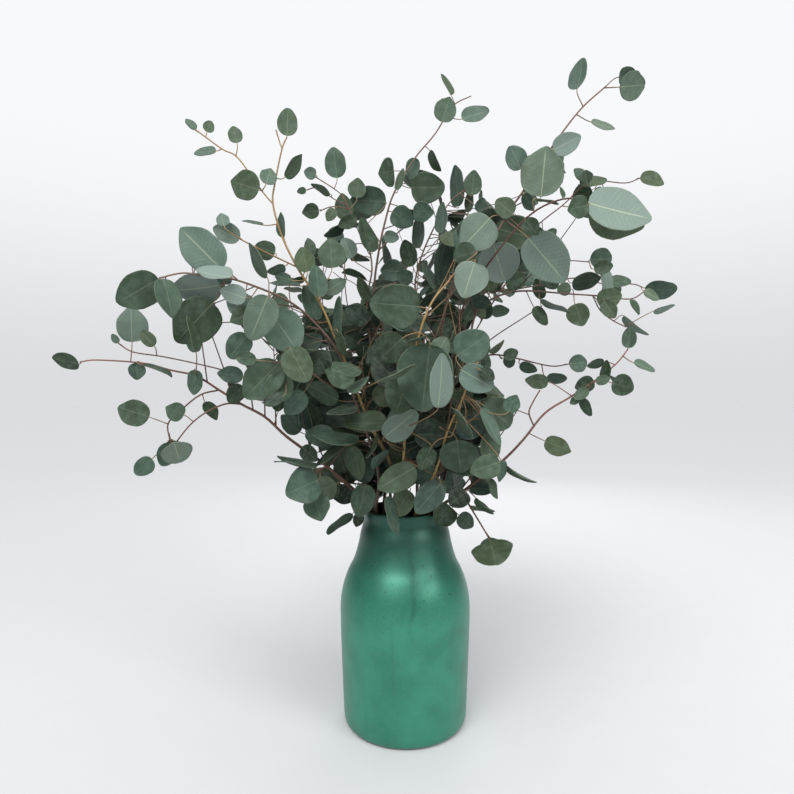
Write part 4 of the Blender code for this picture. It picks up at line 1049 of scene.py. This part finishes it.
def vein_lines(finish, along, across, seed):
    """(midrib, side veins, net) of a leaf, each 0 between its lines and 1 on them."""
    reach = abs(across)
    wander = finish.noise(finish.place(along * 3.0, across * 3.0, seed * 40.0), 1.0) * 0.06
    slant = along - reach * 0.75 + reach * reach * 0.7 + wander
    lane = abs((slant * 13.0 + seed * 7.0).fraction() - 0.5)
    side_veins = lane.ramp(0.09, 0.02) * reach.ramp(0.0, 0.03) * reach.ramp(0.46, 0.34)
    midrib = reach.ramp(0.017, 0.007) * along.ramp(0.99, 0.75)
    cell_place = finish.place(along * 34.0 + seed * 90.0, across * 34.0, seed)
    cells = finish.add("ShaderNodeTexVoronoi", {"feature": "DISTANCE_TO_EDGE"}, {"Vector": cell_place})
    return midrib, side_veins, cells.ramp(0.10, 0.0)


def leaf_green(finish, tone, seed):
    """The leaf's green, from dark to light by its tone, which holds painted shade as well as the leaf's own
    colour, and bluer or more olive by its seed.
    """
    deep = finish.blend(tone.ramp(-4.2, -1.6), PAINTED_SHADE_GREEN, DEEP_GREEN)
    dark = finish.blend(tone.ramp(-1.8, 0.8), deep, MID_GREEN)
    green = finish.blend(tone.ramp(-0.3, 2.0), dark, PALE_GREEN)
    blue = finish.blend((seed * 7.3).fraction().ramp(0.3, 1.0) * 0.40, green, BLUE_GREEN)
    olive = (seed * 13.7).fraction().ramp(0.55, 1.0) * tone.ramp(2.6, 0.6) * 0.60
    return finish.blend(olive, blue, OLIVE)


def leaf_body(finish, green, cloud, grain, under):
    """The leaf's green under its patchy wax bloom, which is thicker on its under side."""
    bloom = finish.blend(cloud.ramp(0.35, 0.80) * 0.26 + under * 0.12, green, WAX_BLOOM)
    return finish.blend(grain.ramp(0.3, 0.8) * 0.30, bloom, DARK_GRAIN)


def leaf_finish():
    """Dusty grey-green leaves: a wax bloom, a pale midrib, fine side veins and a thin pale margin, which is
    partly the leaf's own and partly painted rim light.
    """
    finish = Finish(bpy.data.materials.new("eucalyptus leaf"))
    along, across, rim = finish.worn("leaf_along"), finish.worn("leaf_across"), finish.worn("leaf_rim")
    tone, seed, under = finish.worn("leaf_tone"), finish.worn("leaf_seed"), finish.worn("leaf_under")
    midrib, side_veins, net = vein_lines(finish, along, across, seed)
    place = finish.place(along + seed * 50.0, across, seed * 20.0)
    cloud, grain = finish.noise(place, 5.0, 4.0), finish.noise(place, 70.0, 3.0)
    body = leaf_body(finish, leaf_green(finish, tone, seed), cloud, grain, under)
    pale, broken = tone.ramp(-1.0, 2.2), cloud.ramp(0.35, 0.65)
    drawn = net * 0.04 + side_veins * broken * (pale * 0.20 + 0.03)
    veined = finish.blend(drawn, body, VEIN)
    ribbed = finish.blend(midrib * (pale * 0.38 + 0.10), veined, MIDRIB)
    # The pale margin is partly the leaf's own paler edge and partly painted rim light.
    edged = finish.blend(rim.ramp(0.955, 1.0) * 0.25, ribbed, PALE_MARGIN_AND_RIM_LIGHT)
    spots = finish.noise(place, 16.0, 1.0).ramp(0.735, 0.77)
    height = side_veins * 0.4 + net * 0.2 + midrib + cloud * 0.6
    return finish.made({
        "Base Color": finish.blend(spots * 0.50, edged, LEAF_SPOT),
        "Roughness": grain * 0.18 + 0.48,
        "Normal": finish.bumped(height, 0.35, 0.4 * MM),
        "Specular IOR Level": 0.25,
    })


def bark_finish():
    """Smooth young bark: its colour runs along the branch, with long faint streaks and pores."""
    finish = Finish(bpy.data.materials.new("young bark"))
    colour, run = finish.worn("bark_colour", "Color"), finish.worn("bark_run")
    place = finish.add("ShaderNodeTexCoord", output="Object")
    streak = finish.noise(place, 900.0, 3.0)
    patch = finish.noise(place, 60.0, 3.0)
    pores = finish.noise(place, 1500.0, 1.0).ramp(0.68, 0.74)
    dull = finish.blend(patch.ramp(0.45, 0.8) * 0.5, colour, DULL_BARK)
    streaked = finish.blend(streak.ramp(0.4, 0.8) * 0.25, dull, BARK_STREAK)
    speckled = finish.blend(pores * run.ramp(0.9, 0.2) * 0.5, streaked, BARK_PORE)
    return finish.made({
        "Base Color": speckled,
        "Roughness": patch * 0.2 + 0.42,
        "Normal": finish.bumped(streak + pores, 0.25, 0.2 * MM),
    })


def emerald(finish, at, height, mottle, grain):
    """The bottle's green: mottled, with painted shade in a band below the neck, with streaks and a fine
    glint.
    """
    streaks = finish.noise(finish.stretched(at, 1.0, 1.0, 0.12), 60.0, 3.0)
    body = finish.blend(mottle.ramp(0.30, 0.72), EMERALD, LIGHT_EMERALD)
    # Painted shade: a band at the shoulder is painted darker.
    shoulder_shade = height.ramp(0.115, 0.145) * height.ramp(0.185, 0.155)
    shoulder_shaded = finish.blend(shoulder_shade * 0.45, body, SHOULDER_SHADE_GREEN)
    streaked = finish.blend(streaks.ramp(0.52, 0.80) * 0.30, shoulder_shaded, STREAK)
    return finish.blend(grain.ramp(0.35, 0.85) * 0.40, streaked, GLINT)


def bottle_finish():
    """Satin emerald with a metal sheen, with flecks and a dark run in front; its neck is painted darker as
    painted shade and reflection of the foliage above, its inside near black as painted shade.
    """
    finish = Finish(bpy.data.materials.new("satin emerald bottle"))
    at = finish.add("ShaderNodeTexCoord", output="Object")
    x, y, height = (finish.add("ShaderNodeSeparateXYZ", inputs={0: at}, output=i) for i in range(3))
    mottle, grain = finish.noise(at, 34.0, 5.0), finish.noise(at, 520.0, 4.0)
    green = emerald(finish, at, height, mottle, grain)
    flecks = finish.noise(at, 330.0, 1.0).ramp(0.66, 0.74) * height.ramp(0.10, 0.17)
    flecked = finish.blend(flecks * 0.7, green, FLECK)
    run = abs(x + mottle * 0.012 - 0.012).ramp(0.004, 0.001) * y.ramp(0.0, -0.03) * height.ramp(0.10, 0.15)
    dripped = finish.blend(run * grain.ramp(0.3, 0.6) * 0.40, flecked, DRIP)
    # Painted shade and reflection: the neck is painted darker from the shoulder up.
    neck_shaded = finish.blend(height.ramp(0.140, 0.215) * 0.85, dripped, NECK_SHADE_GREEN)
    return finish.made({
        # Painted shade: the bottle's inside is painted near black.
        "Base Color": finish.blend(finish.worn("bottle_inside"), neck_shaded, INSIDE_SHADE_GREEN),
        "Metallic": 0.50,
        "Roughness": mottle * 0.14 + grain * 0.12 + 0.25,
        "Normal": finish.bumped(mottle * 0.5 + grain * 0.35, 0.28, 0.5 * MM),
        "Coat Weight": 0.10,
        "Coat Roughness": 0.32,
    })


class Sheet:
    """Vertices, faces and what each vertex wears, gathered for one mesh."""

    def __init__(self, *worn):
        self.verts, self.faces, self.flat = [], [], []
        self.worn = {name: [] for name in worn}

    def add_face(self, face, flat=False):
        self.faces.append(face)
        self.flat.append(flat)

    def piece(self, name, finish, node):
        """The mesh as a piece of the object that stands for a node."""
        mesh = bpy.data.meshes.new(name)
        mesh.from_pydata([tuple(vert) for vert in self.verts], [], self.faces)
        mesh.polygons.foreach_set("use_smooth", [not flat for flat in self.flat])
        for worn, values in self.worn.items():
            coloured = isinstance(values[0], tuple)
            kind, key = ("FLOAT_COLOR", "color") if coloured else ("FLOAT", "value")
            numbers = [number for value in values for number in value] if coloured else values
            mesh.attributes.new(worn, kind, "POINT").data.foreach_set(key, numbers)
        mesh.materials.append(finish)
        mesh.update()
        made = bpy.data.objects.new(name, mesh)
        bpy.context.scene.collection.objects.link(made)
        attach(made, "root")
        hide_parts(node)
        return made


class Blade:
    """The fine form of one leaf's blade: the solid's outline with its own tip, waves and bow."""

    def __init__(self, leaf, seed, shaded):
        self.leaf = leaf
        draw = random.Random(seed)
        self.seed = draw.random()
        self.point = draw.uniform(*POINTED)
        self.wave = WAVE * leaf.wide * draw.uniform(*WAVY)
        self.phases = [draw.uniform(0, math.tau) for _ in range(3)]
        self.bow = BOW * leaf.long * draw.uniform(-1.0, 1.0)
        self.lean = draw.uniform(*LOPSIDED)
        self.fold = draw.uniform(*FOLDED)
        self.tone = leaf.tone + draw.uniform(-1.0, 1.0) * (FILL_TONE_SPREAD if shaded else TONE_SPREAD)
        # Painted shade and light: darker in the middle of the bunch and low in it, lighter at its outside,
        # and darker still in the middle for leaves that only fill the foliage.
        inner = inner_share(leaf.base)
        self.tone += PAINTED_DEPTH_SHADE * (0.5 - inner) - PAINTED_LOW_SHADE * (1 - height_share(leaf.base))
        if shaded:
            self.tone -= PAINTED_FILL_SHADE * inner

    def half(self, share, side):
        """Half the blade's width on one side, at this share of its length."""
        half = half_width(share) * self.leaf.wide * (1 + self.lean * side)
        if share > POINT_FROM:
            half *= 1 - self.point * ((share - POINT_FROM) / (1 - POINT_FROM)) ** POINT_POWER
        ripple = math.sin(share * LONG_RIPPLE + self.phases[0] + side) * LONG_RIPPLE_DEEP
        ripple += math.sin(share * SHORT_RIPPLE + self.phases[1] * side) * SHORT_RIPPLE_DEEP
        return max(half * (1 + ripple), NARROWEST)

    def at(self, share, across):
        """The blade's middle surface, at its share of the length and from -1 to 1 across."""
        leaf = self.leaf
        side = 1 if across > 0 else -1
        half = self.half(share, side)
        phase = self.phases[1] + side * self.phases[2]
        rise = CUP * half * abs(across) ** CUP_POWER + self.fold * half * abs(across)
        rise += self.wave * across * across * math.sin(share * LONG_RIPPLE + phase)
        rise += self.bow * 4 * share * (1 - share)
        middle = leaf.base + leaf.along * (leaf.long * share)
        return middle + leaf.across * (half * across) + leaf.up * rise


def add_layer(sheet, blade, under):
    """The vertices of a blade's upper or under face, row by row, and what they wear."""
    leaf = blade.leaf
    lift = leaf.up * (FINE_BLADE_THICK * (0.5 - under))
    for i in range(BLADE_ROWS + 1):
        share = (1 - math.cos(math.pi * i / BLADE_ROWS)) / 2
        for k in range(BLADE_COLUMNS + 1):
            across = math.sin((2 * k / BLADE_COLUMNS - 1) * math.pi / 2)
            sheet.verts.append(blade.at(share, across) + lift)
            half = blade.half(share, 1 if across > 0 else -1)
            values = (share, across * half / leaf.long, abs(across), blade.tone, blade.seed, under)
            for name, value in zip(sheet.worn, values):
                sheet.worn[name].append(float(value))


def rim_of(rows, columns):
    """The vertices all round a grid of faces, in order."""
    wide = columns + 1
    rim = [*range(wide), *(i * wide + columns for i in range(1, rows + 1))]
    rim += [rows * wide + k for k in reversed(range(columns))]
    return rim + [i * wide for i in reversed(range(1, rows))]


def add_blade(sheet, blade):
    """Both faces of a blade and the thin rim between them."""
    first, wide = len(sheet.verts), BLADE_COLUMNS + 1
    layer = (BLADE_ROWS + 1) * wide
    for under in (0, 1):
        add_layer(sheet, blade, under)
    for i in range(BLADE_ROWS):
        for k in range(BLADE_COLUMNS):
            a = first + i * wide + k
            sheet.add_face((a, a + 1, a + wide + 1, a + wide))
            sheet.add_face((a + layer + wide, a + layer + wide + 1, a + layer + 1, a + layer))
    rim = rim_of(BLADE_ROWS, BLADE_COLUMNS)
    for a, b in zip(rim, rim[1:] + rim[:1]):
        sheet.add_face((first + b, first + a, first + a + layer, first + b + layer), flat=True)


def add_tube(sheet, points, radii, sides, colours, runs):
    verts, faces = tube(points, radii, sides)
    first = len(sheet.verts)
    sheet.verts += verts
    for face in faces:
        sheet.add_face(tuple(first + i for i in face), flat=len(face) > 4)
    for colour, run in zip(colours, runs):
        sheet.worn["bark_colour"] += [(*colour, 1.0)] * sides
        sheet.worn["bark_run"] += [run] * sides


def palette_at(palette, run):
    """The bark's colour at this share of the way from the foot to the tip."""
    step = run * (len(palette) - 1)
    i = min(int(step), len(palette) - 2)
    return Vector(palette[i]).lerp(Vector(palette[i + 1]), step - i)


def add_shoot(sheet, shoot, sides, palette, start, bright):
    """A stem or twig: a smooth tube through the solid's own points, a little slimmer at its tip."""
    points = smooth(shoot.points, BARK_STEPS)
    indexes = [i / BARK_STEPS for i in range(len(points))]
    if shoot.hidden:
        del points[1:BARK_STEPS], indexes[1:BARK_STEPS]
    radii = []
    for index in indexes:
        i = min(int(index), len(shoot.radii) - 2)
        radius = shoot.radii[i] + (shoot.radii[i + 1] - shoot.radii[i]) * (index - i)
        radii.append(radius * (1 - SLIMMED * (start + (1 - start) * index / indexes[-1])))
    runs = [start + (1 - start) * i / (len(points) - 1) for i in range(len(points))]
    # Painted shade: the bark's colours are scaled by bright.
    add_tube(sheet, points, radii, sides, [palette_at(palette, run) * bright for run in runs], runs)


def stalk_curve(leaf):
    """A petiole's curve: it leaves its shoot towards the leaf and turns into the blade's middle."""
    away = leaf.base - leaf.root
    first = leaf.root + away * STALK_OFF
    second = leaf.base - leaf.along * min(STALK_TURN * away.length, STALK_TURN_MOST)
    points = []
    for i in range(STALK_STEPS + 1):
        t = i / STALK_STEPS
        s = 1 - t
        curve = leaf.root * s ** 3 + first * (3 * s * s * t) + second * (3 * s * t * t)
        points.append(curve + leaf.base * t ** 3)
    return points


def add_stalk(sheet, blade, palette, bright):
    """A petiole, which runs on under the blade as its midrib and fades out towards the tip."""
    leaf = blade.leaf
    points = stalk_curve(leaf)
    rib = [blade.at(share, 0) - leaf.up * (FINE_BLADE_THICK * 0.5) for share in RIB_SHARES]
    stalk = [STALK_THICK / 2 * (STALK_FOOT - STALK_TAPER * i / len(points)) for i in range(len(points))]
    ridge = [RIB_THICK / 2 * (1 - i / len(rib)) + RIB_END for i in range(len(rib))]
    share = STALK_PALE_LEAST + STALK_PALE_SPREAD * blade.seed
    bark = Vector(palette[2])
    pale = bark.lerp(PALE_STALK, PALE_SHARE)
    # Painted shade: the petiole's colours are scaled by bright.
    colours = [bark.lerp(pale, share * i / len(points)) * bright for i in range(len(points))]
    colours += [pale * bright] * len(rib)
    add_tube(sheet, points + rib, stalk + ridge, STALK_SIDES, colours, [STALK_RUN] * len(colours))


def dress_branch(name, plant, leaf_look, bark_look):
    """One branch: a piece with its bark and petioles, and a piece with its blades."""
    palette = BARKS.get(name, BROWN)
    bark = Sheet("bark_colour", "bark_run")
    stem, *twigs = plant.shoots[name]
    add_shoot(bark, stem, BARK_SIDES, palette, 0.0, 1.0)
    # Painted shade on twigs and petioles: darker near the mouth, and in the middle of the bunch on what
    # only fills the foliage.
    for number, twig in enumerate(twigs, 1):
        bright = painted_bark_brightness(twig.points[0], number >= plant.shown_shoots[name])
        add_shoot(bark, twig, TWIG_BARK_SIDES, palette, TWIG_RUN, bright)
    blades = Sheet("leaf_along", "leaf_across", "leaf_rim", "leaf_tone", "leaf_seed", "leaf_under")
    for number, leaf in enumerate(plant.leaves):
        if leaf.stem == name:
            fills = number >= plant.shown_leaves
            blade = Blade(leaf, LEAF_SEED + number, fills)
            add_blade(blades, blade)
            add_stalk(bark, blade, palette, painted_bark_brightness(leaf.root, fills))
    bark.piece(name + "_bark", bark_look, name)
    blades.piece(name + "_leaves", leaf_look, name)


def cardinal(a, b, c, d, t):
    """A point between b and c on a smooth curve whose next stations are a and d, spaced by length."""
    ab = max((b - a).length, SAME_SPOT) ** 0.5
    bc = max((c - b).length, SAME_SPOT) ** 0.5
    cd = max((d - c).length, SAME_SPOT) ** 0.5
    start = ((b - a) / ab - (c - a) / (ab + bc) + (c - b) / bc) * bc
    end = ((c - b) / bc - (d - b) / (bc + cd) + (d - c) / cd) * bc
    square = -3 * b + 3 * c - 2 * start - end
    return b + start * t + square * t * t + (2 * b - 2 * c + start + end) * t ** 3


def fine_profile():
    """(points, how many are inside) of the bottle's section, as a smooth curve through its stations."""
    profile = [Vector(point) for point in bottle_profile()]
    last = len(profile) - 1
    corners = {0, 1, last - 1, last}
    points = []
    for i, (a, b) in enumerate(zip(profile, profile[1:])):
        before = 2 * a - b if i in corners else profile[i - 1]
        after = 2 * b - a if i + 1 in corners else profile[i + 2]
        points += [cardinal(before, a, b, after, k / FINE_PROFILE_STEPS) for k in range(FINE_PROFILE_STEPS)]
    lip = max(range(len(profile)), key=lambda i: profile[i][1])
    return points, lip * FINE_PROFILE_STEPS


def dress_bottle():
    """The bottle: its smooth section turned about its axis, with one point in the middle of each end."""
    points, inner_count = fine_profile()
    sheet = Sheet("bottle_inside")
    ring = points[1:]
    count, steps = len(ring), FINE_BOTTLE_STEPS
    for i in range(steps):
        turn = Matrix.Rotation(math.tau * i / steps, 3, "Z")
        sheet.verts += [turn @ Vector((point[0], 0, point[1])) for point in ring]
        sheet.worn["bottle_inside"] += [1.0 if k < inner_count else 0.0 for k in range(count)]
    inner_middle, foot_middle = len(sheet.verts), len(sheet.verts) + 1
    sheet.verts += [Vector((0, 0, FLOOR)), Vector((0, 0, 0))]
    sheet.worn["bottle_inside"] += [1.0, 0.0]
    for i in range(steps):
        a, b = i * count, (i + 1) % steps * count
        sheet.add_face((inner_middle, a, b), flat=True)
        sheet.add_face((foot_middle, b + count - 1, a + count - 1), flat=True)
        for k in range(count - 1):
            sheet.add_face((a + k, a + k + 1, b + k + 1, b + k))
    sheet.piece("bottle_body", bottle_finish(), "bottle")


def make_floor():
    """A wide floor of pale paper."""
    mesh = bpy.data.meshes.new("studio_floor")
    corners = [(-FLOOR_REACH, -FLOOR_REACH), (FLOOR_REACH, -FLOOR_REACH), (FLOOR_REACH, FLOOR_REACH),
               (-FLOOR_REACH, FLOOR_REACH)]
    mesh.from_pydata([(x, y, 0) for x, y in corners], [], [(0, 1, 2, 3)])
    paper = Finish(bpy.data.materials.new("pale paper"))
    grain = paper.noise(paper.add("ShaderNodeTexCoord", output="Object"), 30.0, 3.0)
    colour = paper.blend(grain, DARK_PAPER, LIGHT_PAPER)
    mesh.materials.append(paper.made({"Base Color": colour, "Roughness": FLOOR_ROUGH}))
    floor = bpy.data.objects.new("studio_floor", mesh)
    bpy.context.scene.collection.objects.link(floor)


def make_studio():
    """The floor under an even pale sky, a soft sun and three soft boxes."""
    make_floor()
    add_light("sun", "SUN", SUN_PLACE, SUN_POWER).angle = SUN_ANGLE
    for name, place, power, side in SOFT_BOXES:
        add_light(name, "AREA", place, power).size = side
    bpy.context.scene.world = soft_room()
    bpy.context.scene.view_settings.view_transform = "Standard"


def soft_room():
    """A pale backdrop, and light that comes more from above than from below, and least from the sides."""
    finish = Finish(bpy.data.worlds.new("soft room"), "Background")
    way = finish.add("ShaderNodeTexCoord", output="Generated")
    x, height = (finish.add("ShaderNodeSeparateXYZ", inputs={0: way}, output=i) for i in (0, 2))
    seen = finish.add("ShaderNodeLightPath", output="Is Camera Ray")
    light = (height.ramp(-0.1, 1.0) * 1.05 + 0.20) * (1 - abs(x).ramp(0.5, 0.95) * 0.45)
    backdrop = height.ramp(0.0, 0.4) * 0.23 + 0.733
    return finish.made({"Color": rgba(ROOM_LIGHT), "Strength": seen * backdrop + (1 - seen) * light})


def add_light(name, kind, place, power):
    """A light that shines at the middle of the bunch."""
    light = bpy.data.lights.new(name, kind)
    light.energy = power
    lamp = bpy.data.objects.new(name, light)
    lamp.location = place
    lamp.rotation_euler = (LIT_POINT - Vector(place)).to_track_quat("-Z", "Y").to_euler()
    bpy.context.scene.collection.objects.link(lamp)
    return light


def make_camera():
    """A level camera at the photograph's place, with its lens."""
    camera = bpy.data.cameras.new("camera")
    camera.sensor_width = SENSOR_MM
    camera.lens = LENS_PX / PICTURE_PX * SENSOR_MM
    camera.shift_x = (PICTURE_PX / 2 - MIDDLE_X) / PICTURE_PX
    camera.shift_y = (MIDDLE_Y - PICTURE_PX / 2) / PICTURE_PX
    camera.clip_start, camera.clip_end = 0.05, 100
    camera.dof.use_dof = False
    holder = bpy.data.objects.new("camera", camera)
    holder.location = EYE
    holder.rotation_euler = (math.pi / 2, 0, 0)
    bpy.context.scene.collection.objects.link(holder)
    bpy.context.scene.camera = holder


def main():
    make_camera()
    make_studio()
    plant = FullPlant()
    leaf_look, bark_look = leaf_finish(), bark_finish()
    for name in STEMS:
        dress_branch(name, plant, leaf_look, bark_look)
    dress_bottle()


main()
